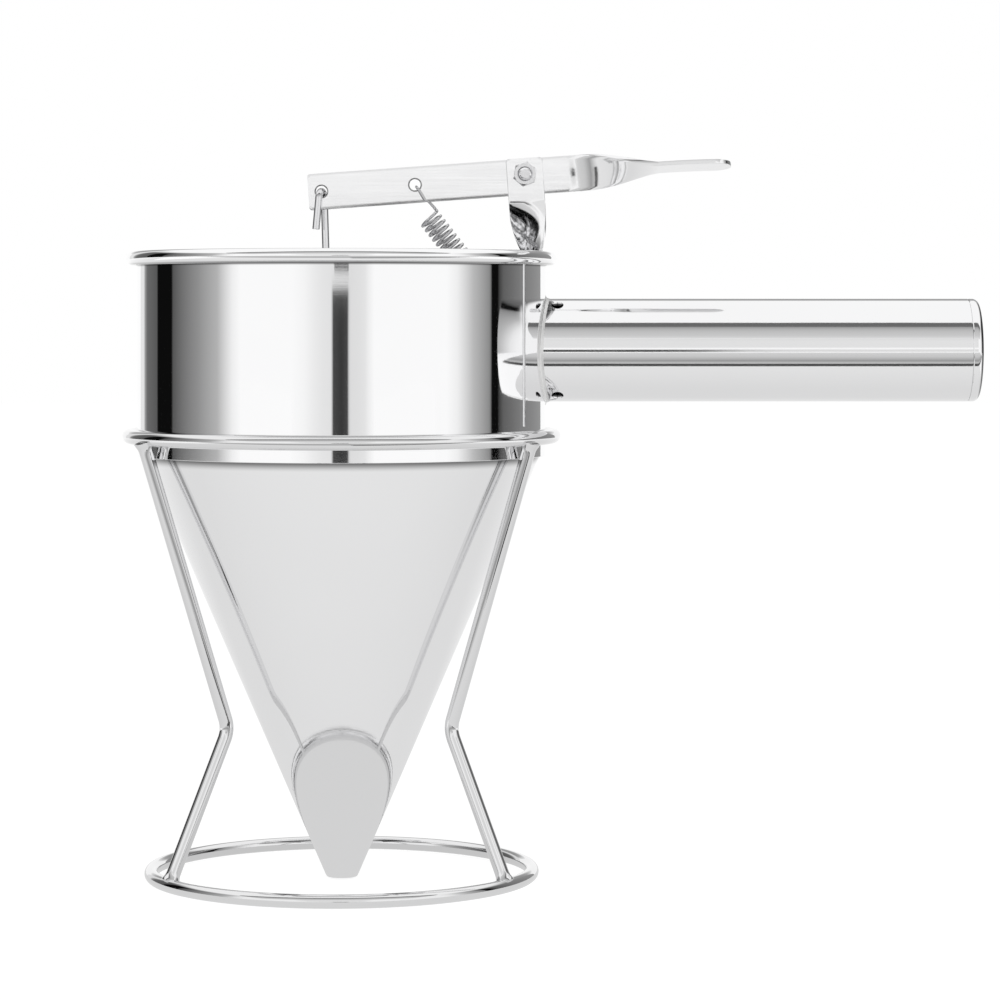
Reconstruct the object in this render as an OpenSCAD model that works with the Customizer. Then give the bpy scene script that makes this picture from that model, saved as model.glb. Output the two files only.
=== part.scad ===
// Funnel batter dispenser with a thumb lever, standing in a wire stand.
// Frame: origin at the centre of the base ring, on the table; +Z up; +X towards the handle.
// The photographed side faces -Y. All sizes are in millimetres.

/* [Cup] */
// Outside diameter of the straight cup wall
cup_d = 132.4; // [118:0.2:146]
// Height of the cup wall, from its lower edge to the middle of the rim bead
cup_h = 63.8; // [54:0.2:80]
// Sheet thickness of the cup and the cone
sheet = 0.8; // [0.6:0.1:1.2]
// Outside diameter of the rolled rim bead
rim_d = 4.5; // [3.8:0.1:6]
// Opening left between the rolled edge and the wall
curl_gap = 0.5; // [0.3:0.1:0.8]
// Width of the upright weld seam on the cup
seam_w = 1.2; // [0.8:0.1:2]
// Height that the weld seam stands proud of the wall
seam_h = 0.12; // [0.05:0.01:0.2]
// Direction of the weld seam round the cup, from the handle
seam_azimuth = -27; // [-75:1:-25]

/* [Cone] */
// Height of the cone, from its tip to the cup's lower edge
cone_h = 136.8; // [120:0.2:155]
// Outside diameter of the tip
tip_d = 10; // [8:0.1:14]
// Height of the tip above the table
tip_rise = 0.5; // [0.4:0.1:3]
// Height of the collar that nests in the cup
collar_h = 6; // [4:0.5:9]
// Step in from the collar to the top of the cone
shoulder_w = 1; // [0.6:0.1:2]
// Chamfer ground round the outlet's edge
tip_chamfer = 0.3; // [0.1:0.05:0.4]

/* [Handle] */
// Outside diameter of the handle tube
handle_d = 33.5; // [28:0.5:38]
// Wall thickness of the handle tube
handle_wall = 1; // [0.8:0.1:1.6]
// Length of the handle tube, outside the cup
handle_len = 137; // [100:0.2:170]
// Depth of the handle's axis below the rim bead
handle_drop = 29.7; // [27:0.1:34]
// Height of the domed cap past the tube's end
cap_crown = 4.4; // [4:0.1:6]
// Height of the cap's straight side past the tube's end
cap_side = 1.4; // [1:0.1:1.6]
// Radius of the cap's rounded edge
cap_edge_r = 2; // [1.4:0.1:2.4]
// Length of the cap's spigot inside the tube
spigot_len = 6; // [4:0.5:12]
// Leg of the weld fillet round the handle's root
root_weld = 1.6; // [1.2:0.1:2]
// Diameter of the two drain holes beside the cup
vent_d = 3.6; // [2.5:0.1:4.5]
// Distance from the cup to the middle of the drain holes
vent_in = 4.6; // [3.5:0.1:9]
// Sideways offset of the drain holes from the handle's axis
vent_side = 8.4; // [5:0.1:9]

/* [Stand] */
// Wire diameter of the rings and legs
wire_d = 4.5; // [3.8:0.1:5.4]
// Clearance between the top ring and the cup
ring_play = 0.3; // [0.3:0.05:0.6]
// Height of the top ring's middle above the cup's lower edge
ring_lift = 6.3; // [5.6:0.1:8]
// Diameter of the base ring, measured on the wire's middle
base_ring_d = 123.3; // [108:0.5:136]
// Diameter of the waist, where the legs bend
waist_d = 81.8; // [72:0.5:96]
// Height of the waist above the table
waist_h = 50.6; // [40:0.5:60]
// Bend radius of a leg at the waist, on the wire's middle
waist_bend_r = 9; // [6:0.5:14]
// Clearance between the cup's lower edge and the legs that it rests on
seat_play = 0.2; // [0.15:0.05:0.4]

/* [Lever and post] */
// Width of the flat strip that the lever and the post are made of
strip_w = 11.8; // [10.5:0.1:14]
// Thickness of the strip
strip_t = 1.5; // [1.2:0.1:2]
// Height of the pivot above the rim bead
pivot_rise = 27.3; // [25:0.1:32]
// Distance from the pivot to the strip on the cup's wall, inwards
pivot_inset = 4.9; // [4.5:0.1:7]
// Height of the pivot above the lever's middle line
pivot_off = 0.85; // [0.4:0.05:1.2]
// Slope of the lever at rest, handle side up
lever_tilt = 4.1; // [2:0.1:6]
// Distance from the pivot to the hole for the pull rod
rod_arm = 66.2; // [60:0.2:72]
// Distance from the pivot to the hole for the spring
spring_arm = 35.8; // [32:0.2:40]
// Length of the lever past the rod's hole
lever_over = 4.3; // [3.8:0.1:7]
// Distance from the pivot to the start of the lever's twist
twist_from = 14.2; // [12:0.2:20]
// Length of the lever's twist
twist_len = 29; // [22:0.2:34]
// Angle through which the lever's thumb end is twisted
twist_angle = 80; // [60:1:90]
// Distance from the pivot to the tip of the thumb end
thumb_reach = 66.9; // [62:0.2:80]
// Drop of the thumb end's tip, over its last stretch
thumb_droop = 0.3; // [0:0.1:2]
// Diameter of the holes for the rod and the spring
link_hole_d = 3.6; // [3.4:0.1:4.2]
// Lean of the post, top away from the handle
post_lean = 4.1; // [2:0.1:6]
// Height of the post above the pivot
post_over = 5.2; // [5:0.1:8]
// Distance from the pivot down to the start of the post's twist
post_flat = 9.1; // [8:0.1:11]
// Length of the post's twist
post_twist_len = 24.5; // [21:0.5:27]
// Distance from the rim bead down to the flat stretch on the cup's wall
post_flush_drop = 15.1; // [13:0.1:18]
// Distance from the rim bead down to the bend of the spring's tab
tab_drop = 25.85; // [23:0.05:28]
// Angle through which the spring's tab is bent in from the wall
tab_angle = 52; // [46:1:58]
// Distance from the tab's bend to its hole
tab_hole_at = 4.5; // [4:0.1:6]
// Width of the lip between the tab's hole and its end
tab_lip = 2.1; // [1.6:0.1:3]

/* [Pivot bolt] */
// Diameter of the bolt
bolt_d = 4; // [3:0.5:5]
// Diameter of the bolt's head
bolt_head_d = 8; // [7:0.1:9.5]
// Height of the bolt's head
bolt_head_h = 2.4; // [1.8:0.1:3]
// Length of bolt that stands out of the nut
bolt_end = 1; // [0.4:0.1:2]
// Width of the nut across its flats
nut_af = 7; // [6.4:0.1:8]
// Thickness of the nut
nut_h = 3.2; // [2.4:0.1:4]
// Outside diameter of the washer between the post and the lever
washer_d = 9; // [7.5:0.1:11]
// Thickness of the washer
washer_h = 0.7; // [0.5:0.1:1.2]
// Clearance round the bolt in each bore, on the radius
pivot_play = 0.05; // [0.03:0.01:0.1]
// Clearance between the lever's faces and its neighbours
side_play = 0.1; // [0.05:0.05:0.2]

/* [Pull rod and stopper] */
// Diameter of the pull rod's wire
rod_d = 2.4; // [2:0.1:2.8]
// Clearance between the rod's stem and the lever's face
rod_side_play = 0.4; // [0.3:0.05:0.8]
// Length of the hook's free leg, in front of the lever
hook_leg = 10; // [9:0.5:16]
// Half of the hook's sideways step from the stem to the free leg
hook_side = 0.8; // [0:0.1:1]
// Angle of the hook's free leg away from the stem
hook_splay = 6.8; // [0:0.2:8]
// Clearance between the stopper and the cone's inside
stopper_play = 0.25; // [0.2:0.05:0.4]
// Height of the stopper's nose above the cone's tip
stopper_rise = 2.5; // [1.5:0.1:4]
// Height of the stopper's tapered face
stopper_seat_h = 6.5; // [5:0.1:9]
// Height of the stopper's rounded top, above its tapered face
stopper_top_h = 4; // [3:0.1:6]
// Height of the collar that holds the rod, above the rounded top
stopper_neck_h = 3; // [2:0.1:6]
// Wall of the collar that holds the rod
stopper_neck_wall = 1.2; // [0.8:0.1:2]

/* [Return spring] */
// Wire diameter of the spring
spring_wire = 1; // [0.8:0.05:1.1]
// Outside diameter of the coil
coil_od = 7.7; // [6.8:0.1:8.4]
// Number of whole turns, to which the coil adds a half
coil_turns = 25; // [18:1:27]
// Distance from the lever's hook to the first coil
hook_lead = 10.3; // [9:0.1:12]
// Distance from the last coil to the tab
tail_lead = 5; // [4:0.1:7]
// Clearance between a hook and the plate that it holds
hook_play = 0.3; // [0.25:0.05:0.4]
// Length of the upper hook's free leg
hook_free = 4.2; // [3:0.1:5]
// Bend radius where the wire leaves the coil
coil_bend_r = 1.2; // [0.9:0.1:1.6]

/* [Hidden] */

$fn = 96;
fine = 192;          // segments round the cup, the cone and the rings
lap_gap = 0.05;      // between sheets that are welded lap on lap
weld_gap = 0.05;     // between wires and tubes that are welded end to side
past = 1;            // how far a cutting shape runs past what it cuts
steel = [0.80, 0.81, 0.82];
bright = [0.88, 0.88, 0.89];
dull = [0.62, 0.63, 0.64];

// Cup and cone
cup_r = cup_d / 2;
cup_ri = cup_r - sheet;
seat_z = tip_rise + cone_h;
rim_z = seat_z + cup_h;
bead_r = rim_d / 2;
bead_proud = 0.1;                              // bead stands in from the wall by this much
bead_x = cup_ri + bead_r - bead_proud;
bead_mid = bead_r - sheet / 2;
wall_top = rim_z - sqrt(pow(bead_mid, 2) - pow(bead_x - cup_ri - sheet / 2, 2));
collar_r = cup_ri - lap_gap;
shoulder_h = 1.5 * shoulder_w;
cone_top_r = collar_r - shoulder_w;
tip_r = tip_d / 2;
cone_slope = (cone_top_r - tip_r) / cone_h;
sheet_x = sheet * sqrt(1 + pow(cone_slope, 2)); // the cone's sheet, measured level

// Handle
handle_r = handle_d / 2;
handle_ri = handle_r - handle_wall;
handle_z = rim_z - handle_drop;
handle_end = cup_r + handle_len;

// Stand
wire_r = wire_d / 2;
top_ring_r = cup_r + ring_play + wire_r;
top_ring_z = seat_z + ring_lift;
base_ring_r = base_ring_d / 2;
waist = [waist_d / 2, waist_h];
foot = [base_ring_r, wire_r];

// Lever and post: places across the object, from the rod forwards
lever_y = -(rod_d / 2 + rod_side_play + strip_t / 2);
post_y = lever_y - strip_t - washer_h - side_play;
flush_x = sqrt(pow(cup_ri, 2) - pow(strip_w / 2, 2)) - lap_gap - strip_t / 2;
pivot_x = flush_x - pivot_inset;
pivot_z = rim_z + pivot_rise;
link_hole_r = link_hole_d / 2;
lever_dir = [cos(lever_tilt), sin(lever_tilt)];
lever_up = [-sin(lever_tilt), cos(lever_tilt)];
rod_hole = [pivot_x, pivot_z] - rod_arm * lever_dir - pivot_off * lever_up;
spring_hole = [pivot_x, pivot_z] - spring_arm * lever_dir - pivot_off * lever_up;
corner_r = 1;                                  // rounding of the strips' cut corners
bore_r = bolt_d / 2 + pivot_play;

// Post's tab for the spring
tab_bend_r = 2 * strip_t;
tab_bend_z = rim_z - tab_drop;
tab_dir = [-sin(tab_angle), -cos(tab_angle)];
tab_root = [flush_x - tab_bend_r * (1 - cos(tab_angle)), tab_bend_z - tab_bend_r * sin(tab_angle)];
tab_hole = tab_root + tab_hole_at * tab_dir;
tab_len = tab_hole_at + link_hole_r + tab_lip;

// Return spring: s runs down the coil's axis, p points up and towards the handle
spring_r = spring_wire / 2;
coil_r = (coil_od - spring_wire) / 2;
hook_in = 0.5;                                 // upper hook's lean towards the axis
hook_r = (strip_t + spring_wire) / 2 + hook_play;
hook_sag = hook_r - sqrt(pow(hook_r, 2) - pow(strip_t / 2, 2));
hook_shift = link_hole_r - spring_r - hook_play - hook_sag;
hook_top = spring_hole + hook_shift * unit(tab_hole - spring_hole);
tab_shift = link_hole_r - spring_r - hook_play;
hook_low = tab_hole + tab_shift * tab_dir;
span = hook_low - hook_top;
hook_offset = 2 * coil_r - hook_in;
coil_angle = atan2(span[1], span[0]) + asin(hook_offset / norm(span));
axis_s = [cos(coil_angle), sin(coil_angle)];
axis_p = [-sin(coil_angle), cos(coil_angle)];
coil_start = hook_top + hook_lead * axis_s - (coil_r - hook_in) * axis_p;
coil_len = sqrt(pow(norm(span), 2) - pow(hook_offset, 2)) - hook_lead - tail_lead;
turns = coil_turns + 0.5;
pitch = coil_len / turns;
back_y = lever_y + hook_r;
coil_y = back_y - coil_bend_r;
tail_y = coil_y + coil_bend_r;
lip_turn_r = (link_hole_r - tab_shift + tab_lip + hook_play + spring_r) / 2;

// Pull rod and stopper
rod_r = rod_d / 2;
hook_bend_r = -lever_y;
neck_r = rod_r + lap_gap + stopper_neck_wall;
stopper_z = tip_rise + stopper_rise;
shoulder_z = stopper_z + stopper_seat_h;
neck_z = shoulder_z + stopper_top_h;
rod_foot_z = stopper_z + stopper_seat_h / 2;
rod_straight_z = neck_z + stopper_neck_h + 4 * rod_d;

function unit(v) = v / norm(v);
function mix(a, b, t) = a + (b - a) * t;
function clamp01(t) = max(0, min(1, t));
function smooth(t) = let (c = clamp01(t)) c * c * (3 - 2 * c);
function ease(t) = (clamp01(t) + smooth(t)) / 2;

// Outside and inside radius of the cone at a height
function cone_r(z) = tip_r + (z - tip_rise) * cone_slope;
function cone_ri(z) = cone_r(z) - sheet_x;

// Direction of a path at each of its points
function tangents(path) =
    [for (i = [0:len(path) - 1]) unit(path[min(i + 1, len(path) - 1)] - path[max(i - 1, 0)])];

// One direction square to the path, carried along it without turning round it
function square_to(n, t) = unit(n - (n * t) * t);
function carried(ts, first) =
    [for (i = 0, n = square_to(first, ts[0]); i < len(ts);
          i = i + 1, n = i < len(ts) ? square_to(n, ts[i]) : n) n];

// Rings of points round a path
function tube_rings(path, r, sides, first) =
    let (ts = tangents(path), ns = carried(ts, first))
    [for (i = [0:len(path) - 1])
        [for (k = [0:sides - 1])
            let (a = 360 * k / sides)
            path[i] + r * (cos(a) * ns[i] + sin(a) * cross(ts[i], ns[i]))]];

// Closed solid through a row of rings with the same number of points
module skin(rings) {
    m = len(rings[0]);
    last = (len(rings) - 1) * m;
    points = [for (ring = rings) each ring];
    sides = [for (i = [0:len(rings) - 2], k = [0:m - 1])
        let (a = i * m + k, b = i * m + (k + 1) % m)
        each [[a, a + m, b + m], [a, b + m, b]]];
    start_cap = [for (k = [1:m - 2]) [0, k, k + 1]];
    end_cap = [for (k = [1:m - 2]) [last, last + k + 1, last + k]];
    polyhedron(points, concat(sides, start_cap, end_cap), convexity = 10);
}

// Four corners of a strip's section: centre, direction across its width, direction through it
function strip_section(c, w, n, half_w) =
    [c - half_w * w - strip_t / 2 * n, c + half_w * w - strip_t / 2 * n,
     c + half_w * w + strip_t / 2 * n, c - half_w * w + strip_t / 2 * n];

// Part of an outline: an arc about a centre
function arc(c, r, from, to, steps) =
    [for (i = [0:steps]) let (a = mix(from, to, i / steps)) c + r * [cos(a), sin(a)]];

// ---- Cup and cone ----

module bead_profile() {
    difference() {
        translate([bead_x, rim_z]) circle(r = bead_r);
        translate([bead_x, rim_z]) circle(r = bead_r - sheet);
        translate([cup_r, rim_z - rim_d]) square([curl_gap, rim_d]);
    }
}

module cup_wall() {
    seam_turn = 360 * seam_w / (PI * cup_d);
    seam_foot = top_ring_z + wire_d;
    color(bright) {
        rotate_extrude($fn = fine) {
            translate([cup_ri, seat_z]) square([sheet, wall_top - seat_z]);
            bead_profile();
        }
        rotate([0, 0, seam_azimuth - seam_turn / 2])
            rotate_extrude(angle = seam_turn, $fn = fine)
            translate([cup_r - sheet / 2, seam_foot])
            square([sheet / 2 + seam_h, wall_top - rim_d / 2 - seam_foot]);
    }
}

module cone() {
    outside = [[tip_r - tip_chamfer, tip_rise],
               [tip_r + tip_chamfer * cone_slope, tip_rise + tip_chamfer],
               [cone_top_r, seat_z],
               [collar_r, seat_z + shoulder_h],
               [collar_r, seat_z + collar_h]];
    inside = [[collar_r - sheet, seat_z + collar_h],
              [collar_r - sheet, seat_z + shoulder_h],
              [cone_top_r - sheet_x, seat_z],
              [tip_r - sheet_x, tip_rise]];
    color(steel) rotate_extrude($fn = fine) polygon(concat(outside, inside));
}

// ---- Handle ----

module along_handle() {
    translate([0, 0, handle_z]) rotate([0, 90, 0]) children();
}

module handle_tube() {
    fillet_r = handle_r + root_weld;
    color(bright) difference() {
        along_handle() rotate_extrude()
            polygon([[0, 0], [fillet_r, 0], [fillet_r, cup_r], [handle_r, cup_r + root_weld],
                     [handle_r, handle_end], [0, handle_end]]);
        along_handle() translate([0, 0, -past]) cylinder(h = handle_end + 2 * past, r = handle_ri);
        translate([0, 0, handle_z - handle_d])
            cylinder(h = 2 * handle_d, r = cup_r + weld_gap, $fn = fine);
        translate([cup_r + vent_in, -vent_side, handle_z - handle_d])
            cylinder(h = 2 * handle_d, d = vent_d);
    }
}

module handle_cap() {
    spigot_r = handle_ri - lap_gap;
    dome_r = handle_r - cap_edge_r;
    outside = concat([for (i = [0:6]) dome_point(i / 6, dome_r)],
                     arc([dome_r, handle_end + cap_side], cap_edge_r, 75, 0, 5),
                     [[handle_r, handle_end], [spigot_r, handle_end]]);
    inside = [[spigot_r, handle_end - spigot_len],
              [spigot_r - handle_wall, handle_end - spigot_len],
              [spigot_r - handle_wall, handle_end],
              [0, handle_end + cap_side + cap_edge_r - handle_wall]];
    color(bright) along_handle() rotate_extrude() polygon(concat(outside, inside));
}

// The cap's face is a shallow dome above its rounded edge: a point from its middle outwards
function dome_point(t, edge) =
    [t * edge, handle_end + cap_crown - (cap_crown - cap_side - cap_edge_r) * pow(t, 2)];

// ---- Lever ----

// Outline of the lever's flat stretch: along its length, across its width
module lever_outline() {
    left = -(rod_arm + lever_over);
    half = strip_w / 2;
    polygon(concat(arc([left + corner_r, half - corner_r], corner_r, 90, 180, 4),
                   arc([left + corner_r, corner_r - half], corner_r, 180, 270, 4),
                   [[twist_from, -half], [twist_from, half]]));
}

// The twisted and the thumb stretch, in sections from the end of the flat stretch to the tip
function lever_half_w(u) =
    let (round_r = strip_w / 2, into = u - (thumb_reach - round_r))
    into <= 0 ? round_r : sqrt(pow(round_r, 2) - pow(into, 2));
function lever_section(u) =
    let (turn = twist_angle * ease((u - twist_from) / twist_len),
         droop_len = (thumb_reach - twist_from - twist_len),
         droop = thumb_droop * pow(clamp01((u - thumb_reach + droop_len) / droop_len), 2))
    strip_section([u, 0, -droop], [0, sin(turn), cos(turn)], [0, -cos(turn), sin(turn)],
                  lever_half_w(u));

module lever_twist() {
    twist_steps = 28;
    thumb_steps = 6;
    twist_end = twist_from + twist_len;
    round_from = thumb_reach - strip_w / 2;
    stations = concat([for (i = [0:twist_steps]) twist_from + twist_len * i / twist_steps],
                      [for (i = [1:thumb_steps]) mix(twist_end, round_from, i / thumb_steps)],
                      [for (a = [15:13:80]) round_from + strip_w / 2 * sin(a)]);
    skin([for (u = stations) lever_section(u)]);
}

module lever() {
    color(bright) translate([pivot_x, lever_y, pivot_z]) rotate([0, -lever_tilt, 0])
    translate([0, 0, -pivot_off]) {
        rotate([90, 0, 0]) difference() {
            linear_extrude(strip_t, center = true) lever_outline();
            for (hole = [[0, pivot_off, bore_r], [-rod_arm, 0, link_hole_r],
                         [-spring_arm, 0, link_hole_r]])
                translate([hole[0], hole[1], -strip_t]) cylinder(h = 2 * strip_t, r = hole[2]);
        }
        lever_twist();
    }
}

// ---- Post ----

post_steps = 34;
post_from = [pivot_x + post_flat * sin(post_lean), post_y, pivot_z - post_flat * cos(post_lean)];
post_to = [flush_x, 0, rim_z - post_flush_drop];

// Middle of the strip between the flat top and the stretch on the wall
function post_point(t) =
    let (z = mix(post_from[2], post_to[2], t),
         line_x = post_from[0] + (post_from[2] - z) * tan(post_lean))
    [mix(line_x, post_to[0], smooth((t - 0.35) / 0.65)),
     mix(post_from[1], post_to[1], smooth(t / 0.6)),
     z];
function post_turn(z) = 90 * ease((post_from[2] - z) / post_twist_len);

// A point in the post's own frame: from the pivot, with Z up the flat top
function in_post(p) =
    let (q = p - [pivot_x, post_y, pivot_z])
    [q[0] * cos(post_lean) + q[2] * sin(post_lean),
     q[1],
     q[2] * cos(post_lean) - q[0] * sin(post_lean)];

module post_strip() {
    lead = 0.4 * [sin(post_lean), 0, -cos(post_lean)];
    drop = [for (i = [1:post_steps]) post_point(i / post_steps)];
    bend_c = [flush_x - tab_bend_r, tab_bend_z];
    bend = [for (q = arc(bend_c, tab_bend_r, 0, -tab_angle, 7)) [q[0], 0, q[1]]];
    tab_end = tab_root + tab_len * tab_dir;
    path = concat([post_from, post_from + lead], drop, bend, [[tab_end[0], 0, tab_end[1]]]);
    ts = tangents(path);
    skin([for (i = [0:len(path) - 1])
        let (turn = post_turn(path[i][2]),
             w = square_to([cos(turn), -sin(turn), 0], ts[i]))
        [for (p = strip_section(path[i], w, cross(ts[i], w), strip_w / 2)) in_post(p)]]);
}

module post_plate() {
    half = strip_w / 2;
    rotate([90, 0, 0]) difference() {
        linear_extrude(strip_t, center = true)
            polygon(concat(arc([half - corner_r, post_over - corner_r], corner_r, 0, 90, 4),
                           arc([corner_r - half, post_over - corner_r], corner_r, 90, 180, 4),
                           [[-half, -post_flat], [half, -post_flat]]));
        translate([0, 0, -strip_t]) cylinder(h = 2 * strip_t, r = bore_r);
    }
}

module pivot_post() {
    color(steel) difference() {
        translate([pivot_x, post_y, pivot_z]) rotate([0, -post_lean, 0]) {
            post_plate();
            post_strip();
        }
        translate([tab_hole[0], tail_y, tab_hole[1]]) rotate([0, 90 - tab_angle, 0])
            translate([0, 0, -2 * strip_t]) cylinder(h = 4 * strip_t, r = link_hole_r);
    }
}

// ---- Pivot bolt, nut and washer ----

// Children stand on a plane across the object, with their own +Z towards -Y
module at_pivot(y) {
    translate([pivot_x, y, pivot_z]) rotate([90, 0, 0]) children();
}

head_y = lever_y + strip_t / 2 + side_play;
nut_y = post_y - strip_t / 2;

module pivot_bolt() {
    dome = 0.45 * bolt_head_h;
    head_r = bolt_head_d / 2;
    shank = head_y - nut_y + nut_h + bolt_end;
    color(dull) at_pivot(head_y) rotate_extrude()
        polygon(concat([[0, shank], [bolt_d / 2 - 0.4, shank], [bolt_d / 2, shank - 0.4],
                        [bolt_d / 2, 0], [head_r, 0]],
                       [for (i = [0:5]) let (a = 90 * i / 5)
                           [head_r - dome + dome * cos(a), -(bolt_head_h - dome) - dome * sin(a)]],
                       [[0, -bolt_head_h]]));
}

module pivot_nut() {
    color(dull) at_pivot(nut_y) difference() {
        rotate([0, 0, 20]) cylinder(h = nut_h, r = nut_af / 2 / cos(30), $fn = 6);
        translate([0, 0, -past]) cylinder(h = nut_h + 2 * past, r = bore_r);
    }
}

module pivot_washer() {
    color(dull) at_pivot(lever_y - strip_t / 2 - side_play) difference() {
        cylinder(h = washer_h, d = washer_d);
        translate([0, 0, -past]) cylinder(h = washer_h + 2 * past, r = bore_r);
    }
}

// ---- Return spring ----

function in_coil(s, p, y) =
    let (q = coil_start + s * axis_s + p * axis_p) [q[0], y, q[1]];

arc_steps = 8;
bend_steps = 3;
coil_steps = 8;
upper_s = -(hook_lead - hook_r);
upper_p = coil_r - hook_in;
lip_s = coil_len + tail_lead + strip_t / 2;
front_y = lever_y - hook_r;
spring_path = concat(
    [in_coil(upper_s + hook_free, upper_p - hook_in, front_y)],
    [for (i = [0:arc_steps]) let (a = 180 * i / arc_steps)
        in_coil(upper_s - hook_r * sin(a), upper_p, lever_y - hook_r * cos(a))],
    [for (i = [0:bend_steps - 1]) let (a = 90 * i / bend_steps)
        in_coil(coil_bend_r * (sin(a) - 1), coil_r, coil_y + coil_bend_r * cos(a))],
    [for (i = [0:coil_steps * turns]) let (a = 360 * i / coil_steps)
        in_coil(pitch * i / coil_steps, coil_r * cos(a), coil_y - coil_r * sin(a))],
    [for (i = [1:bend_steps]) let (a = 90 * i / bend_steps)
        in_coil(coil_len + coil_bend_r * (1 - cos(a)), -coil_r, coil_y + coil_bend_r * sin(a))],
    [for (i = [0:arc_steps]) let (a = 180 * i / arc_steps)
        in_coil(lip_s + lip_turn_r * sin(a), -coil_r - lip_turn_r * (1 - cos(a)), tail_y)],
    [in_coil(lip_s - strip_t - 1.5 * spring_wire, -coil_r - 2 * lip_turn_r, tail_y)]);

// Length of wire up to each point, and the least gap between stretches of it that aren't neighbours
function wire_lengths(path) =
    [for (i = 0, d = 0; i < len(path);
          i = i + 1, d = i < len(path) ? d + norm(path[i] - path[i - 1]) : d) d];
function least_gap(path, d) =
    let (along = wire_lengths(path), apart = 3.5 * d)
    min([for (i = [0:len(path) - 1], j = [i + 1:1:len(path) - 1])
        if (along[j] - along[i] > apart) norm(path[j] - path[i])]) - d;

module return_spring() {
    color(dull) skin(tube_rings(spring_path, spring_r, 6, [0, 0, 1]));
}

// ---- Pull rod and stopper ----

rod_top = [rod_hole[0] + hook_side, 0, rod_hole[1] - hook_bend_r];
free_leg_dir = [-sin(hook_splay - rod_lean()), 0, -cos(hook_splay - rod_lean())];
function rod_lean() = atan2(-rod_hole[0] - hook_side, rod_hole[1] - rod_straight_z);

module pull_rod() {
    hook_steps = 10;
    stem_steps = 4;
    stem_foot = [0, 0, rod_straight_z];
    hook = [for (i = [1:hook_steps]) let (a = 180 * i / hook_steps)
        rod_top + hook_bend_r * [0, cos(a) - 1, sin(a)]
        + hook_side * [cos(a) - 1, 0, 0]];
    leg_end = hook[hook_steps - 1] + hook_leg * free_leg_dir;
    path = concat([[0, 0, rod_foot_z], stem_foot],
                  [for (i = [1:stem_steps]) mix(stem_foot, rod_top, i / stem_steps)],
                  hook, [leg_end]);
    color(steel) skin(tube_rings(path, rod_r, 12, [1, 0, 0]));
}

module stopper() {
    seat_x = stopper_play * sqrt(1 + pow(cone_slope, 2));
    nose_r = cone_ri(stopper_z) - seat_x;
    wide_r = cone_ri(shoulder_z) - seat_x;
    color(dull) difference() {
        rotate_extrude()
            polygon([[0, stopper_z], [nose_r, stopper_z], [wide_r, shoulder_z],
                     [wide_r, shoulder_z + stopper_top_h / 4],
                     [mix(wide_r, neck_r, 0.2), shoulder_z + stopper_top_h / 2],
                     [mix(wide_r, neck_r, 0.6), shoulder_z + 0.8 * stopper_top_h],
                     [neck_r, neck_z], [neck_r, neck_z + stopper_neck_h],
                     [0, neck_z + stopper_neck_h]]);
        translate([0, 0, rod_foot_z - lap_gap])
            cylinder(h = neck_z + stopper_neck_h, r = rod_r + lap_gap);
    }
}

// ---- Stand ----

module wire_ring(r, z, d) {
    translate([0, 0, z]) rotate_extrude($fn = fine) translate([r, 0]) circle(d = d, $fn = 48);
}

module stand_top_ring() {
    color(bright) wire_ring(top_ring_r, top_ring_z, wire_d);
}

module stand_base_ring() {
    color(bright) wire_ring(base_ring_r, wire_r, wire_d);
}

// A leg's places: distance from the stand's axis, height. Its upper stretch passes the
// cup's lower edge at the wire's radius and the seat's clearance.
seat_edge = [cup_r, seat_z];
to_seat = seat_edge - waist;
upper_angle = atan2(to_seat[1], to_seat[0]) - asin((wire_r + seat_play) / norm(to_seat));
upper_dir = [cos(upper_angle), sin(upper_angle)];
to_ring = [top_ring_r, top_ring_z] - waist;
ring_along = to_ring * upper_dir;
ring_off = sqrt(pow(norm(to_ring), 2) - pow(ring_along, 2));
upper_len = ring_along - sqrt(max(0, pow(wire_r, 2) - pow(ring_off, 2))) + wire_r / 3;
lower_dir = unit(foot - waist);
lower_len = norm(foot - waist) - wire_r / 2;
half_angle = acos(upper_dir * lower_dir) / 2;
bend_len = waist_bend_r / tan(half_angle);
waist_c = waist + waist_bend_r / sin(half_angle) * unit(upper_dir + lower_dir);
to_bend = waist + bend_len * upper_dir - waist_c;
bend_start = atan2(to_bend[1], to_bend[0]);
bend_turn = 180 - 2 * half_angle;

leg_sides = 24;
leg_bend_steps = 8;

// Middle of the wire from the top ring to the base ring, in the leg's own plane
leg_path = [for (q = concat([waist + upper_len * upper_dir],
                            arc(waist_c, waist_bend_r, bend_start, bend_start + bend_turn,
                                leg_bend_steps),
                            [waist + lower_len * lower_dir])) [q[0], 0, q[1]]];

module stand_leg(azimuth) {
    color(bright) rotate([0, 0, azimuth]) difference() {
        skin(tube_rings(leg_path, wire_r, leg_sides, [0, 1, 0]));
        wire_ring(top_ring_r, top_ring_z, wire_d + 2 * weld_gap);
        wire_ring(base_ring_r, wire_r, wire_d + 2 * weld_gap);
    }
}

module stand_leg_left() {
    stand_leg(210);
}

module stand_leg_right() {
    stand_leg(330);
}

module stand_leg_back() {
    stand_leg(90);
}

echo(spring_least_gap_mm = least_gap(spring_path, spring_wire), spring_pitch_mm = pitch);

cup_wall();
cone();
handle_tube();
handle_cap();
pivot_post();
pivot_bolt();
pivot_nut();
pivot_washer();
lever();
return_spring();
pull_rod();
stopper();
stand_top_ring();
stand_base_ring();
stand_leg_left();
stand_leg_right();
stand_leg_back();
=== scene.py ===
"""Pancake batter dispenser: finished surfaces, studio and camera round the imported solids."""
import math

import bmesh
import bpy
from mathutils import Matrix, Vector


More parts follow.
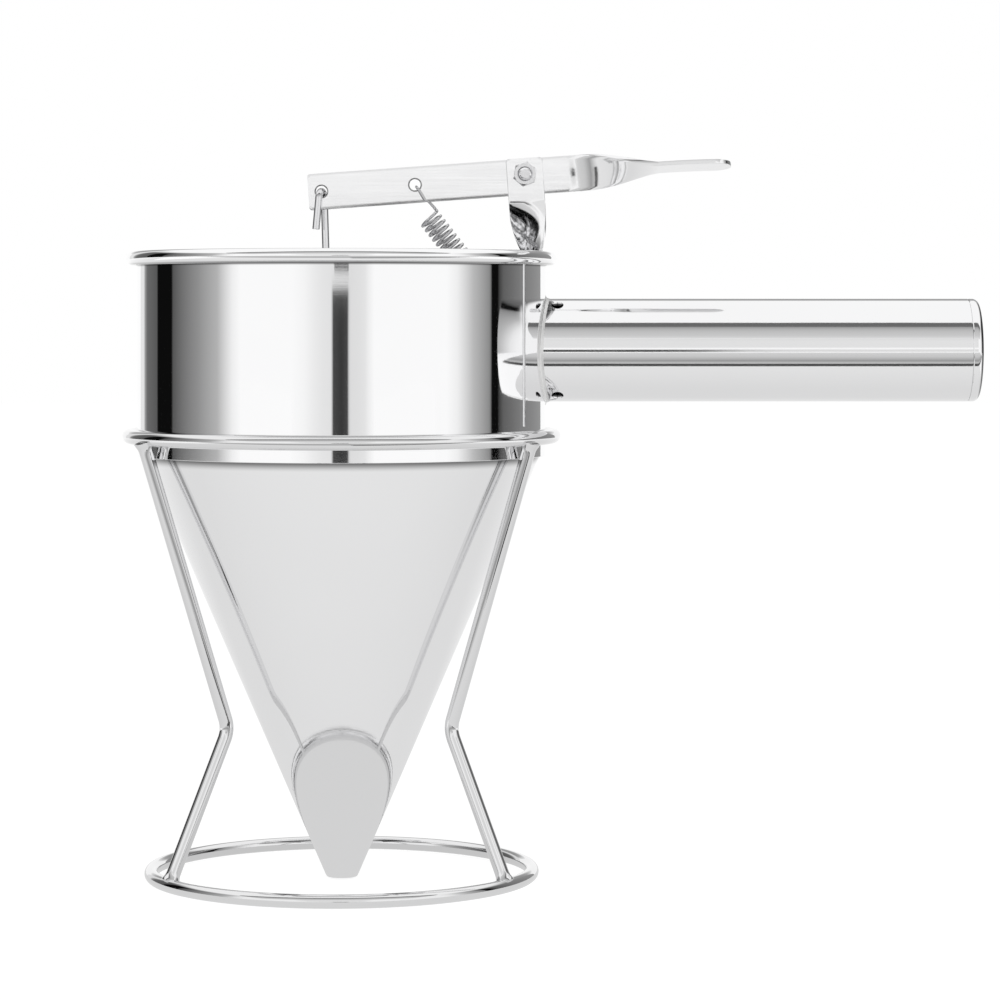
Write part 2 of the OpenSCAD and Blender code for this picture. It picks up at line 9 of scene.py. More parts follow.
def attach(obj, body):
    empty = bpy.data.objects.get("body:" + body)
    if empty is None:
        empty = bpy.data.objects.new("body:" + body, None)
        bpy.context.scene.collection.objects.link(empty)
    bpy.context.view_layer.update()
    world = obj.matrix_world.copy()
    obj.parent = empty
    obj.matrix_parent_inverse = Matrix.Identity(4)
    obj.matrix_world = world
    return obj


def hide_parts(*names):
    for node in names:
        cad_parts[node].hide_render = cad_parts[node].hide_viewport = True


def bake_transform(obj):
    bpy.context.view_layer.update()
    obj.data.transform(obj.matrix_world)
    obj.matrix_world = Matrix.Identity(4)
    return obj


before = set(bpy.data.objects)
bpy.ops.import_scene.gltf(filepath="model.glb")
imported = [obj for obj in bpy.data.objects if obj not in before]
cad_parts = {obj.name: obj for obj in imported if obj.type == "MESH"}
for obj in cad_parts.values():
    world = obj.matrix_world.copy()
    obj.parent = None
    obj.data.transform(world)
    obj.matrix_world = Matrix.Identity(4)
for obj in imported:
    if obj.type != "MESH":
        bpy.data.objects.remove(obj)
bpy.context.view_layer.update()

MM = 0.001
SHARP = math.radians(24)  # steeper edges stay sharp in the shading

# ---------------------------------------------------------------- sizes, in mm
SHEET = 0.8
CUP_R = 66.2
CUP_RI = CUP_R - SHEET
SEAT_Z = 137.3
RIM_Z = 201.1
BEAD_R = 2.25
BEAD_X = CUP_RI + BEAD_R - 0.1
COLLAR_R = CUP_RI - 0.05
CONE_TOP_R = COLLAR_R - 1
TIP_R = 5
TIP_Z = 0.5
CONE_SLOPE = (CONE_TOP_R - TIP_R) / (SEAT_Z - TIP_Z)
SHEET_X = SHEET * math.hypot(1, CONE_SLOPE)

HANDLE_R = 16.75
HANDLE_RI = 15.75
HANDLE_Z = 171.4
HANDLE_END = CUP_R + 137
ROOT_WELD = 1.2

WIRE_R = 2.25
TOP_RING_R, TOP_RING_Z = 68.75, 143.6
BASE_RING_R = 61.65
WAIST, WAIST_BEND_R = (40.9, 50.6), 9.0
WELD_RUN = 1.5

STRIP_W, STRIP_T = 11.8, 1.5
STRIP_EDGE, STRIP_CORNER = 0.28, 1.0
LEVER_Y, POST_Y = -2.35, -4.65
PIVOT = (59.4333, 228.4)
PIVOT_OFF = 0.85
LEVER_TILT, POST_LEAN = math.radians(4.1), math.radians(4.1)
ROD_ARM, SPRING_ARM, LEVER_OVER = 66.2, 35.8, 4.3
LINK_R, BORE_R = 1.8, 2.05
FLUSH_X = 64.3333


# ---------------------------------------------------------------- small helpers
def clamp01(t):
    return max(0.0, min(1.0, t))


def mix(a, b, t):
    return a + (b - a) * t


def smooth(t):
    """0 to 1 with a level start and end."""
    c = clamp01(t)
    return c * c * (3 - 2 * c)


def ease(t):
    """Halfway between straight and smooth."""
    return (clamp01(t) + smooth(t)) / 2


def steps(a, b, n):
    """n equal steps from a to b, both included."""
    return [mix(a, b, i / n) for i in range(n + 1)]


def arc(cx, cy, r, a0, a1, n):
    """Points of an arc, from a0 to a1 degrees, both ends included."""
    return [
        (cx + r * math.cos(math.radians(a)), cy + r * math.sin(math.radians(a)))
        for a in steps(a0, a1, n)
    ]


# ---------------------------------------------------------------- materials
def new_nodes(name):
    """A material with an empty node tree."""
    mat = bpy.data.materials.new(name)
    mat.use_nodes = True
    tree = mat.node_tree
    tree.nodes.clear()
    return mat, tree


def link(tree, a, b):
    tree.links.new(a, b)


def math_node(tree, operation, a, b=None):
    """A maths node on sockets or plain numbers."""
    node = tree.nodes.new("ShaderNodeMath")
    node.operation = operation
    for k, v in enumerate([a] if b is None else [a, b]):
        if isinstance(v, (int, float)):
            node.inputs[k].default_value = v
        else:
            link(tree, v, node.inputs[k])
    return node.outputs[0]


def painted_shade(tree, color, measure, dark_at, light_at, share=0.85):
    """Painted shade: a colour that sinks into the shade of a joint as the measure, in metres, nears
    dark_at.
    """
    depth = tree.nodes.new("ShaderNodeMapRange")
    depth.interpolation_type = "SMOOTHSTEP"
    depth.inputs["From Min"].default_value = light_at
    depth.inputs["From Max"].default_value = dark_at
    depth.inputs["To Max"].default_value = share
    link(tree, measure, depth.inputs["Value"])
    shaded = tree.nodes.new("ShaderNodeMix")
    shaded.data_type = "RGBA"
    shaded.inputs["B"].default_value = (0.04, 0.04, 0.04, 1)
    link(tree, depth.outputs[0], shaded.inputs["Factor"])
    link(tree, color, shaded.inputs["A"])
    return shaded.outputs["Result"]


def painted_joint_shade(tree, coord, color, shade_lines, bore_shade):
    """Painted shade: dark lines at the heights of the joints, where shade falls (middle, half
    width), and a painted dark inside of the tube (its axis' height, its radii)."""
    split = tree.nodes.new("ShaderNodeSeparateXYZ")
    link(tree, coord.outputs["Object"], split.inputs[0])
    for mid, half in shade_lines:
        off = math_node(tree, "ABSOLUTE", math_node(tree, "SUBTRACT", split.outputs["Z"], mid))
        color = painted_shade(tree, color, off, 0.0, half)
    if bore_shade:
        axis_z, inner, outer = bore_shade
        up = math_node(tree, "SUBTRACT", split.outputs["Z"], axis_z)
        square = math_node(tree, "ADD", math_node(tree, "MULTIPLY", up, up),
                           math_node(tree, "MULTIPLY", split.outputs["Y"], split.outputs["Y"]))
        color = painted_shade(tree, color, math_node(tree, "SQRT", square), inner, outer, 0.97)
    return color


STAIN = 0.3                        # share of the smears in the roughness, the rest is streaks
NOISE_LOW, NOISE_HIGH = 0.3, 0.7   # between these the noises run from least to most rough


def steel(name, color, rough, grain, depth, wave=0.0, spread=0.025, shade_lines=(), bore_shade=None):
    """Stainless steel: colour that drifts a little, roughness from streaks of polish and faint
    smears, and a bump of fine polishing lines over the sheet's slight waviness. grain is the
    streaks' scale. The colour can also take painted shade: dark lines at given heights and a
    dark inside of the tube."""
    mat, tree = new_nodes(name)
    out = tree.nodes.new("ShaderNodeOutputMaterial")
    bsdf = tree.nodes.new("ShaderNodeBsdfPrincipled")
    bsdf.inputs["Metallic"].default_value = 1.0
    link(tree, bsdf.outputs[0], out.inputs["Surface"])
    coord = tree.nodes.new("ShaderNodeTexCoord")

    def noise(scale, detail, size, rough_=0.6):
        mapping = tree.nodes.new("ShaderNodeMapping")
        mapping.inputs["Scale"].default_value = scale
        link(tree, coord.outputs["Object"], mapping.inputs["Vector"])
        n = tree.nodes.new("ShaderNodeTexNoise")
        n.inputs["Scale"].default_value = size
        n.inputs["Detail"].default_value = detail
        n.inputs["Roughness"].default_value = rough_
        link(tree, mapping.outputs[0], n.inputs["Vector"])
        return n.outputs["Fac"]

    streak = noise(grain, 4.0, 1.0)
    smear = noise((1, 1, 1), 5.0, 34.0, 0.7)
    drift = noise((1, 1, 1), 3.0, 12.0)

    tone = tree.nodes.new("ShaderNodeMix")
    tone.data_type = "RGBA"
    tone.inputs["A"].default_value = (*[c * (1 - spread) for c in color], 1)
    tone.inputs["B"].default_value = (*[min(1, c * (1 + spread)) for c in color], 1)
    link(tree, drift, tone.inputs["Factor"])
    # painted shade: dark lines at given heights and a dark inside of the tube, mixed into the
    # colour
    base = painted_joint_shade(tree, coord, tone.outputs["Result"], shade_lines, bore_shade)
    link(tree, base, bsdf.inputs["Base Color"])

    blend = tree.nodes.new("ShaderNodeMix")
    blend.data_type = "FLOAT"
    blend.inputs["Factor"].default_value = STAIN
    link(tree, streak, blend.inputs["A"])
    link(tree, smear, blend.inputs["B"])
    ranged = tree.nodes.new("ShaderNodeMapRange")
    ranged.inputs["From Min"].default_value = NOISE_LOW
    ranged.inputs["From Max"].default_value = NOISE_HIGH
    ranged.inputs["To Min"].default_value = rough[0]
    ranged.inputs["To Max"].default_value = rough[1]
    link(tree, blend.outputs["Result"], ranged.inputs["Value"])
    link(tree, ranged.outputs["Result"], bsdf.inputs["Roughness"])

    bump = tree.nodes.new("ShaderNodeBump")
    bump.inputs["Strength"].default_value = 1.0
    bump.inputs["Distance"].default_value = depth
    link(tree, streak, bump.inputs["Height"])
    last = bump
    if wave:
        swell = noise((1, 1, 1), 1.0, 26.0, 0.4)
        wide = tree.nodes.new("ShaderNodeBump")
        wide.inputs["Strength"].default_value = 1.0
        wide.inputs["Distance"].default_value = wave
        link(tree, swell, wide.inputs["Height"])
        link(tree, bump.outputs[0], wide.inputs["Normal"])
        last = wide
    link(tree, last.outputs[0], bsdf.inputs["Normal"])
    return mat


ROUND = (60, 60, 2600)      # lines that run round a turned sheet
ALONG_X = (40, 1500, 1500)  # lines that run along the handle and the strips
EVEN = (900, 900, 900)

MATERIALS = {
    # cup: a painted shade line under the rim's bead
    "cup": steel("cup_polish", (0.95, 0.95, 0.955), (0.02, 0.045), ROUND, 0.0000004, 0.00006,
                 shade_lines=[(0.1989, 0.0008)]),
    # cone: painted shade round its top, in the crevice under the cup's edge
    "cone": steel("cone_polish", (0.95, 0.95, 0.955), (0.035, 0.06), ROUND, 0.0000012, 0.00008,
                  shade_lines=[(0.1375, 0.0032)]),
    # tube: painted shade, its inside dark as seen through the drain hole
    "tube": steel("tube_polish", (0.92, 0.92, 0.925), (0.04, 0.08), ALONG_X, 0.0000012, 0.00004,
                  bore_shade=(HANDLE_Z * MM, 0.0161, 0.01655)),
    "strip": steel("strip_polish", (0.92, 0.92, 0.925), (0.07, 0.14), ALONG_X, 0.000002, 0.00006),
    "bolt": steel("bolt_finish", (0.86, 0.86, 0.87), (0.14, 0.26), EVEN, 0.000004, spread=0.05),
    "spring": steel("spring_finish", (0.62, 0.62, 0.63), (0.07, 0.14), EVEN, 0.000003, spread=0.05),
    "rod": steel("rod_finish", (0.76, 0.76, 0.77), (0.07, 0.14), EVEN, 0.000002),
    "turned": steel("turned_finish", (0.74, 0.74, 0.75), (0.14, 0.26), ROUND, 0.000003),
    "wire": steel("wire_polish", (0.82, 0.82, 0.825), (0.03, 0.07), EVEN, 0.0000015),
    "burr": steel("burr_finish", (0.30, 0.30, 0.30), (0.25, 0.4), EVEN, 0.000004, spread=0.08),
    "weld": steel("weld_finish", (0.86, 0.86, 0.855), (0.42, 0.5), EVEN, 0.000006, spread=0.08),
}


# ---------------------------------------------------------------- meshes
def closed_mesh(name, points, faces):
    """A mesh in metres from points in mm, with its normals outwards."""
    mesh = bpy.data.meshes.new(name)
    mesh.from_pydata([(x * MM, y * MM, z * MM) for x, y, z in points], [], faces)
    work = bmesh.new()
    work.from_mesh(mesh)
    bmesh.ops.remove_doubles(work, verts=work.verts, dist=2e-7)
    bmesh.ops.recalc_face_normals(work, faces=work.faces)
    work.to_mesh(mesh)
    work.free()
    return mesh


def piece(name, mesh, body, material, slot, *nodes, sharp=SHARP, cuts=(), weighted=True):
    """A finished piece of the object: holes cut, smooth shading kept within its edges, material
    and body."""
    obj = bpy.data.objects.new(name, mesh)
    bpy.context.scene.collection.objects.link(obj)
    for n, cut in enumerate(cuts):
        tool = bpy.data.objects.new(f"{name}_cut_{n}", cut)
        bpy.context.scene.collection.objects.link(tool)
        change = obj.modifiers.new("hole", "BOOLEAN")
        change.operation = "DIFFERENCE"
        change.solver = "EXACT"
        change.object = tool
        baked = bpy.data.meshes.new_from_object(
            obj.evaluated_get(bpy.context.evaluated_depsgraph_get())
        )
        obj.modifiers.clear()
        obj.data = baked
        bpy.data.objects.remove(tool)
    mesh = obj.data
    mesh.name = name
    mesh.materials.clear()
    mesh.materials.append(MATERIALS[material])
    mesh.polygons.foreach_set("material_index", [0] * len(mesh.polygons))
    mesh.shade_smooth()
    mesh.set_sharp_from_angle(angle=sharp)
    if weighted:
        shade = obj.modifiers.new("shade", "WEIGHTED_NORMAL")
        shade.keep_sharp = True
        shade.weight = 80
    if nodes:
        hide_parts(*nodes)
    if body:
        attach(obj, body)
    return obj


def lathe(name, profile, turns=256, along="Z", bumps=None, angles=None):
    """A closed (radius, height) profile turned about Z, or with along="X" about the handle's
    axis. bumps adds to a point's radius; angles say where the profile is put."""
    full = angles or [2 * math.pi * k / turns for k in range(turns)]
    m, points, faces = len(profile), [], []
    for a in full:
        for r, h in profile:
            r = max(r, 0.0)
            if bumps:
                r += bumps(r, h, a)
            if along == "Z":
                points.append((r * math.cos(a), r * math.sin(a), h))
            else:
                points.append((h, r * math.cos(a), HANDLE_Z + r * math.sin(a)))
    count = len(full)
    for k in range(count):
        n = (k + 1) % count
        for j in range(m):
            i = (j + 1) % m
            if profile[j][0] <= 1e-9 and profile[i][0] <= 1e-9:
                continue
            faces.append((k * m + j, n * m + j, n * m + i, k * m + i))
    return closed_mesh(name, points, faces)


def skin(name, rings):
    """A closed mesh through a row of rings with the same number of points."""
    m = len(rings[0])
    points = [p for ring in rings for p in ring]
    faces = []
    for i in range(len(rings) - 1):
        for k in range(m):
            a, b = i * m + k, i * m + (k + 1) % m
            faces.append((a, b, b + m, a + m))
    faces.append(tuple(range(m)))
    faces.append(tuple((len(rings) - 1) * m + k for k in range(m)))
    return closed_mesh(name, points, faces)


def looped(name, rings):
    """A closed mesh through rings of which the last meets the first."""
    m, n = len(rings[0]), len(rings)
    faces = []
    for i in range(n):
        j = (i + 1) % n
        for k in range(m):
            q = (k + 1) % m
            faces.append((i * m + k, i * m + q, j * m + q, j * m + k))
    return closed_mesh(name, [p for ring in rings for p in ring], faces)


def rod_rings(path, radius, sides, first=(0, 0, 1)):
    """Rings round a path, with one direction carried along it; radius may be a function of the
    point's index."""
    pts = [Vector(p) for p in path]
    n = Vector(first)
    rings = []
    for i, p in enumerate(pts):
        t = (pts[min(i + 1, len(pts) - 1)] - pts[max(i - 1, 0)]).normalized()
        n = (n - n.dot(t) * t).normalized()
        b = t.cross(n)
        r = radius(i) if callable(radius) else radius
        rings.append(
            [
                tuple(p + r * (math.cos(a) * n + math.sin(a) * b))
                for a in (2 * math.pi * k / sides for k in range(sides))
            ]
        )
    return rings


def capped(path, radius, sides, first=(0, 0, 1), ease_mm=0.2):
    """A rod whose cut ends have a small broken edge."""
    pts = [Vector(p) for p in path]
    a = (pts[1] - pts[0]).normalized() * ease_mm
    b = (pts[-2] - pts[-1]).normalized() * ease_mm
    pts = [pts[0], pts[0] + a] + pts[1:-1] + [pts[-1] + b, pts[-1]]
    last = len(pts) - 1

    def r(i):
        return radius - ease_mm if i in (0, last) else radius

    return rod_rings(pts, r, sides, first)


DRILL_SIDES, EDGE_BREAK = 64, 0.22


def drill(center, axis, radius, length=12, plate=0.0):
    """A cylinder to cut a hole with; plate gives the thickness whose two edges it breaks."""
    c, t = Vector(center), Vector(axis).normalized()
    first = Vector((0, 0, 1)) if abs(t.z) < 0.9 else Vector((1, 0, 0))
    if not plate:
        ends = [c - t * length / 2, c + t * length / 2]
        return skin("drill", rod_rings(ends, radius, DRILL_SIDES, first))
    inner, outer = plate / 2 - EDGE_BREAK, plate / 2 + 0.02
    at = [-length / 2, -outer, -inner, inner, outer, length / 2]
    wide = [radius + EDGE_BREAK] * 2 + [radius] * 2 + [radius + EDGE_BREAK] * 2
    path = [c + t * d for d in at]
    return skin("drill", rod_rings(path, lambda i: wide[i], DRILL_SIDES, first))


def strip_section(c, w, n, half):
    """Rounded section of a flat strip: centre, across, through. Both flats have points across their
    width, so that a twisted stretch mirrors as it should."""
    c, w, n = Vector(c), Vector(w), Vector(n)
    edge = STRIP_EDGE
    e = min(edge, half * 0.9)  # narrower where the strip's rounded end runs out
    t = STRIP_T / 2
    pts = []
    for sw, sn, a0 in ((1, 1, 0), (-1, 1, 90), (-1, -1, 180), (1, -1, 270)):
        for a in steps(a0, a0 + 90, 3):
            ca, sa = math.cos(math.radians(a)), math.sin(math.radians(a))
            pts.append(tuple(c + w * (sw * (half - e) + e * ca)
                             + n * (sn * (t - edge) + edge * sa)))
        if sw == sn:
            pts += [tuple(c + w * (sw * (half - e) * f) + n * (sn * t))
                    for f in steps(1, -1, 12)[1:-1]]
    return pts


# ---------------------------------------------------------------- cup
SEAM = math.radians(-27)
SEAM_FOOT, SEAM_TOP = TOP_RING_Z + 2 * WIRE_R, 199.4
SEAM_RISE, SEAM_WIDTH = 0.05, 0.85
TOE_DEPTH, TOE_WIDTH = 0.04, 1.7
SEAM_WIRE, SEAM_SINK = 0.86, 0.45


def cup_profile():
    """The cup's sheet with its rim curled outwards into a bead."""
    inner, mid = BEAD_R - SHEET, RIM_Z
    foot = [(CUP_R - 0.15, SEAT_Z), (CUP_R, SEAT_Z + 0.15)]
    outer = [(CUP_R, z) for z in (SEAT_Z + 0.6, SEAM_FOOT - 1, SEAM_FOOT - 0.5, SEAM_FOOT,
                                  SEAM_FOOT + 0.5, 198.2, 198.6, 199.0, SEAM_TOP, 200.2)]
    hollow = arc(BEAD_X, mid, inner, 201.4, -125.9, 40)
    bead = arc(BEAD_X, mid, BEAD_R, -112.2, 197.1, 64)
    inside = [(CUP_RI, z) for z in (199.6, 198, SEAT_Z + 0.6)] + [(CUP_RI + 0.1, SEAT_Z)]
    return foot + outer + hollow + bead + inside


def seam_bump(r, h, a):
    """The sheet's slight rise and toes along its weld, fading at its ends."""
    if abs(r - CUP_R) > 0.01 or not SEAM_FOOT - 1 <= h <= SEAM_TOP + 0.1:
        return 0.0
    d = abs(a - SEAM) * CUP_R
    ends = smooth((h - SEAM_FOOT + 1) / 1.5) * smooth((SEAM_TOP - h) / 0.8)
    rise = SEAM_RISE * math.exp(-((d / SEAM_WIDTH) ** 2))
    return (rise - TOE_DEPTH * math.exp(-((d / TOE_WIDTH) ** 2))) * ends


def seam_angles():
    """Even angles round the cup, close together over the weld."""
    wide = [math.pi * 2 * k / 288 for k in range(-144, 144)]
    near = [SEAM + d / CUP_R for d in steps(-3, 3, 40)]
    lo, hi = near[0], near[-1]
    return sorted([a for a in wide if a < lo - 0.004 or a > hi + 0.004] + near)


cup_mesh = lathe("cup_sheet", cup_profile(), bumps=seam_bump, angles=seam_angles())
piece("cup_sheet", cup_mesh, "funnel", "cup", "polished_sheet", "cup_wall")


def seam_radius(i):
    """The bead's slight beats along the weld."""
    return SEAM_WIRE + 0.015 * math.sin(1.7 * i)


seam_x, seam_y = ((CUP_R - SEAM_SINK) * f(SEAM) for f in (math.cos, math.sin))
bead_path = [(seam_x, seam_y, z) for z in steps(SEAM_FOOT - 0.6, SEAM_TOP - 0.2, 60)]
piece("seam_bead", skin("seam_bead", rod_rings(bead_path, seam_radius, 20, (1, 0, 0))),
      "funnel", "rod", "polished_sheet", sharp=math.radians(60), weighted=False)

# ---------------------------------------------------------------- cone
cone_profile = (
    [(TIP_R - SHEET_X, TIP_Z + 0.25), (TIP_R - SHEET_X + 0.12, TIP_Z + 0.05), (TIP_R - 0.32, TIP_Z),
     (TIP_R - 0.1, TIP_Z + 0.07), (TIP_R + 0.06, TIP_Z + 0.3), (TIP_R + CONE_SLOPE, TIP_Z + 1)]
    + [(TIP_R + (z - TIP_Z) * CONE_SLOPE, z) for z in (12, 40, 80, 120, SEAT_Z - 0.8)]
    + [(CONE_TOP_R + 0.05, SEAT_Z), (CONE_TOP_R + 0.3, SEAT_Z + 0.5),
       (COLLAR_R - 0.1, SEAT_Z + 1.3), (COLLAR_R, SEAT_Z + 1.7),
       (COLLAR_R, SEAT_Z + 5.8), (COLLAR_R - 0.15, SEAT_Z + 6)]
    + [(COLLAR_R - SHEET, SEAT_Z + 5.85), (COLLAR_R - SHEET, SEAT_Z + 1.7),
       (COLLAR_R - SHEET - 0.1, SEAT_Z + 1.3), (CONE_TOP_R - SHEET_X + 0.05, SEAT_Z)]
    + [(TIP_R + (z - TIP_Z) * CONE_SLOPE - SHEET_X, z) for z in (SEAT_Z - 0.8, 120, 80, 40, 12)]
)
piece("cone_sheet", lathe("cone_sheet", cone_profile, 288),
      "funnel", "cone", "polished_sheet", "cone")

# ---------------------------------------------------------------- handle
HANDLE_TURNS = 192
ROOT_NEAR, ROOT_FAR = 68.6, 73.4      # the stretch with close rows, where the drain holes are
VENT_IN, VENT_SIDE, VENT_R = 3.7, 8.1, 1.95


def handle_tube_mesh():
    """The tube, its start cut to the cup's round, with a small step of its end at the cap."""
    ring = [2 * math.pi * k / HANDLE_TURNS for k in range(HANDLE_TURNS)]
    rows = []

    def start(y):
        return math.sqrt((CUP_R + 0.02) ** 2 - y * y)

    def row(r, x_of):
        rows.append([(x_of(r * math.cos(a)), r * math.cos(a), HANDLE_Z + r * math.sin(a))
                     for a in ring])

    row(HANDLE_R, start)
    row(HANDLE_R, lambda y: start(y) + 1.2)
    for x in (steps(ROOT_NEAR, ROOT_FAR, 12)
              + [76, 80, 100, 150, HANDLE_END - 1.2, HANDLE_END - 0.25]):
        row(HANDLE_R, lambda y, x=x: x)
    row(HANDLE_R - 0.22, lambda y: HANDLE_END - 0.02)
    row(HANDLE_RI + 0.1, lambda y: HANDLE_END - 0.02)
    for x in [HANDLE_END - 0.2, 150, 80, 76] + steps(ROOT_FAR, ROOT_NEAR, 12):
        row(HANDLE_RI, lambda y, x=x: x)
    row(HANDLE_RI, start)
    return looped("handle_pipe", rows)


vent = drill((CUP_R + VENT_IN, -VENT_SIDE, HANDLE_Z), (0, 0, 1), VENT_R, 60)
piece("handle_pipe", handle_tube_mesh(), "funnel", "tube", "polished_tube", "handle_tube",
      cuts=[vent], weighted=False)


def handle_weld_mesh():
    """A concave weld fillet where the tube meets the cup, a little uneven."""
    rings, turns = [], 320
    for k in range(turns):
        a = 2 * math.pi * k / turns
        ca, sa = math.cos(a), math.sin(a)
        y, z = HANDLE_R * ca, HANDLE_R * sa
        x = math.sqrt(CUP_R**2 - y * y)
        foot = Vector((x, y, z))
        out = Vector((x, y, 0)).normalized()
        radial = Vector((0, ca, sa))
        climb = Vector((1, 0, 0))
        spread = (radial - radial.dot(out) * out).normalized()
        leg = ROOT_WELD * (1 + 0.012 * math.sin(7 * a + 1))
        pts = []
        for t in steps(0, 1, 6):
            bend = 0.62 * leg * math.sin(math.pi * t) * 0.35
            pts.append(foot + climb * leg * (1 - t) + spread * leg * t
                       - (climb + spread) * bend + out * 0.01)
        pts.append(foot + spread * leg - out * 0.3)
        pts.append(foot - out * 0.3 - radial * 0.3)
        pts.append(foot + climb * leg - radial * 0.3)
        rings.append([(p.x, p.y, p.z + HANDLE_Z) for p in pts])
    return looped("handle_weld", rings)


piece("handle_weld", handle_weld_mesh(), "funnel", "weld", "polished_tube")

CAP_CROWN, CAP_SIDE, CAP_EDGE = 4.4, 1.4, 2.0
cap_profile = (
    [(0, HANDLE_END + CAP_CROWN)]
    + [((HANDLE_R - CAP_EDGE) * t,
        HANDLE_END + CAP_CROWN - (CAP_CROWN - CAP_SIDE - CAP_EDGE) * t * t)
       for t in steps(0.1, 1, 9)]
    + arc(HANDLE_R - CAP_EDGE, HANDLE_END + CAP_SIDE, CAP_EDGE - 0.01, 80, 0, 14)
    + [(HANDLE_R - 0.01, HANDLE_END + 0.3), (HANDLE_R - 0.2, HANDLE_END + 0.02),
       (HANDLE_RI - 0.05, HANDLE_END + 0.02),
       (HANDLE_RI - 0.05, HANDLE_END - 6), (HANDLE_RI - 1.05, HANDLE_END - 6),
       (HANDLE_RI - 1.05, HANDLE_END), (0, HANDLE_END + CAP_SIDE + 1)]
)
piece("handle_end_cap", lathe("handle_end_cap", cap_profile, 192, along="X"),
      "funnel", "tube", "polished_tube", "handle_cap")


# ---------------------------------------------------------------- lever
def to_world(u, y, v):
    """From the lever's middle line (along from the pivot, across, up) into the frame."""
    c, s, up = math.cos(LEVER_TILT), math.sin(LEVER_TILT), v - PIVOT_OFF
    return (PIVOT[0] + u * c - up * s, y, PIVOT[1] + u * s + up * c)


TWIST_FROM, TWIST_LEN, TWIST = 14.2, 29.0, math.radians(80)
THUMB_REACH, THUMB_DROOP = 66.9, 0.8


def lever_mesh():
    """The lever in sections along its middle line, with the twist as the photo has it."""
    half, left, corner = STRIP_W / 2, -(ROD_ARM + LEVER_OVER), STRIP_CORNER
    twist_end = TWIST_FROM + TWIST_LEN
    round_from = THUMB_REACH - half
    stations = [(left + corner * (1 - math.cos(math.radians(a))),
                 half - corner * (1 - math.sin(math.radians(a)))) for a in steps(0, 90, 6)]
    stations += [(u, half) for u in (-60, -45, -41, -30, -15, -5, 5,
                                     TWIST_FROM - 1.5, TWIST_FROM - 0.4)]
    stations += [(u, half) for u in steps(TWIST_FROM, twist_end, 90)]
    stations += [(u, half) for u in steps(twist_end, round_from, 10)[1:]]
    stations += [(round_from + half * math.sin(math.radians(a)),
                  half * math.cos(math.radians(a)))
                 for a in (8, 16, 24, 32, 40, 48, 55, 62, 68, 74, 79, 83)]
    rings = []
    flat_len = THUMB_REACH - twist_end
    for u, h in stations:
        turn = TWIST * ease((u - TWIST_FROM) / TWIST_LEN)
        droop = THUMB_DROOP * clamp01((u - twist_end) / flat_len) ** 2
        w = (0, -math.sin(turn), math.cos(turn))
        n = (0, -math.cos(turn), -math.sin(turn))
        ring = strip_section((u, 0, -droop), w, n, h)
        rings.append([to_world(x, LEVER_Y + y, z) for x, y, z in ring])
    return skin("lever_bar", rings)


HOLES = ((0, PIVOT_OFF, BORE_R), (-ROD_ARM, 0, LINK_R), (-SPRING_ARM, 0, LINK_R))
lever_holes = [drill(to_world(u, LEVER_Y, v), (0, 1, 0), r, 3, plate=STRIP_T)
               for u, v, r in HOLES]
piece("lever_bar", lever_mesh(), "lever", "strip", "strip_steel", "lever", cuts=lever_holes)


def to_front(mesh, x, y, z):
    """A mesh made about Z, moved to a place and turned so that its height runs to the front."""
    mesh.transform(Matrix.Translation((x * MM, y * MM, z * MM))
                   @ Matrix.Rotation(math.radians(90), 4, "X"))
    return mesh


def hole_rim(name, u):
    """The burr round a punched hole, on the lever's front."""
    x, y, z = to_world(u, LEVER_Y - STRIP_T / 2, 0)
    mesh = to_front(lathe(name, arc(LINK_R + 0.3, 0.02, 0.16, 0, 330, 11), 64), x, y, z)
    piece(name, mesh, "lever", "burr", "strip_steel", sharp=math.radians(60), weighted=False)


hole_rim("hole_rim_rod", -ROD_ARM)
hole_rim("hole_rim_spring", -SPRING_ARM)

# ---------------------------------------------------------------- post
POST_FLAT, POST_OVER, POST_TWIST = 9.1, 5.2, 24.5
TAB_ANGLE, TAB_BEND_R, TAB_EDGE = math.radians(52), 2 * STRIP_T, 2.1
TAB_LEN = 4.5 + LINK_R + TAB_EDGE
TAB_BEND_Z = RIM_Z - 25.85
post_from = Vector((PIVOT[0] + POST_FLAT * math.sin(POST_LEAN), POST_Y,
                    PIVOT[1] - POST_FLAT * math.cos(POST_LEAN)))
post_to = Vector((FLUSH_X, 0, RIM_Z - 15.1))


def post_point(t):
    """The post's middle between its plate, t = 0, and the cup's wall, t = 1."""
    z = mix(post_from.z, post_to.z, t)
    line_x = post_from.x + (post_from.z - z) * math.tan(POST_LEAN)
    return Vector((mix(line_x, post_to.x, smooth((t - 0.35) / 0.65)),
                   mix(post_from.y, post_to.y, smooth(t / 0.6)), z))


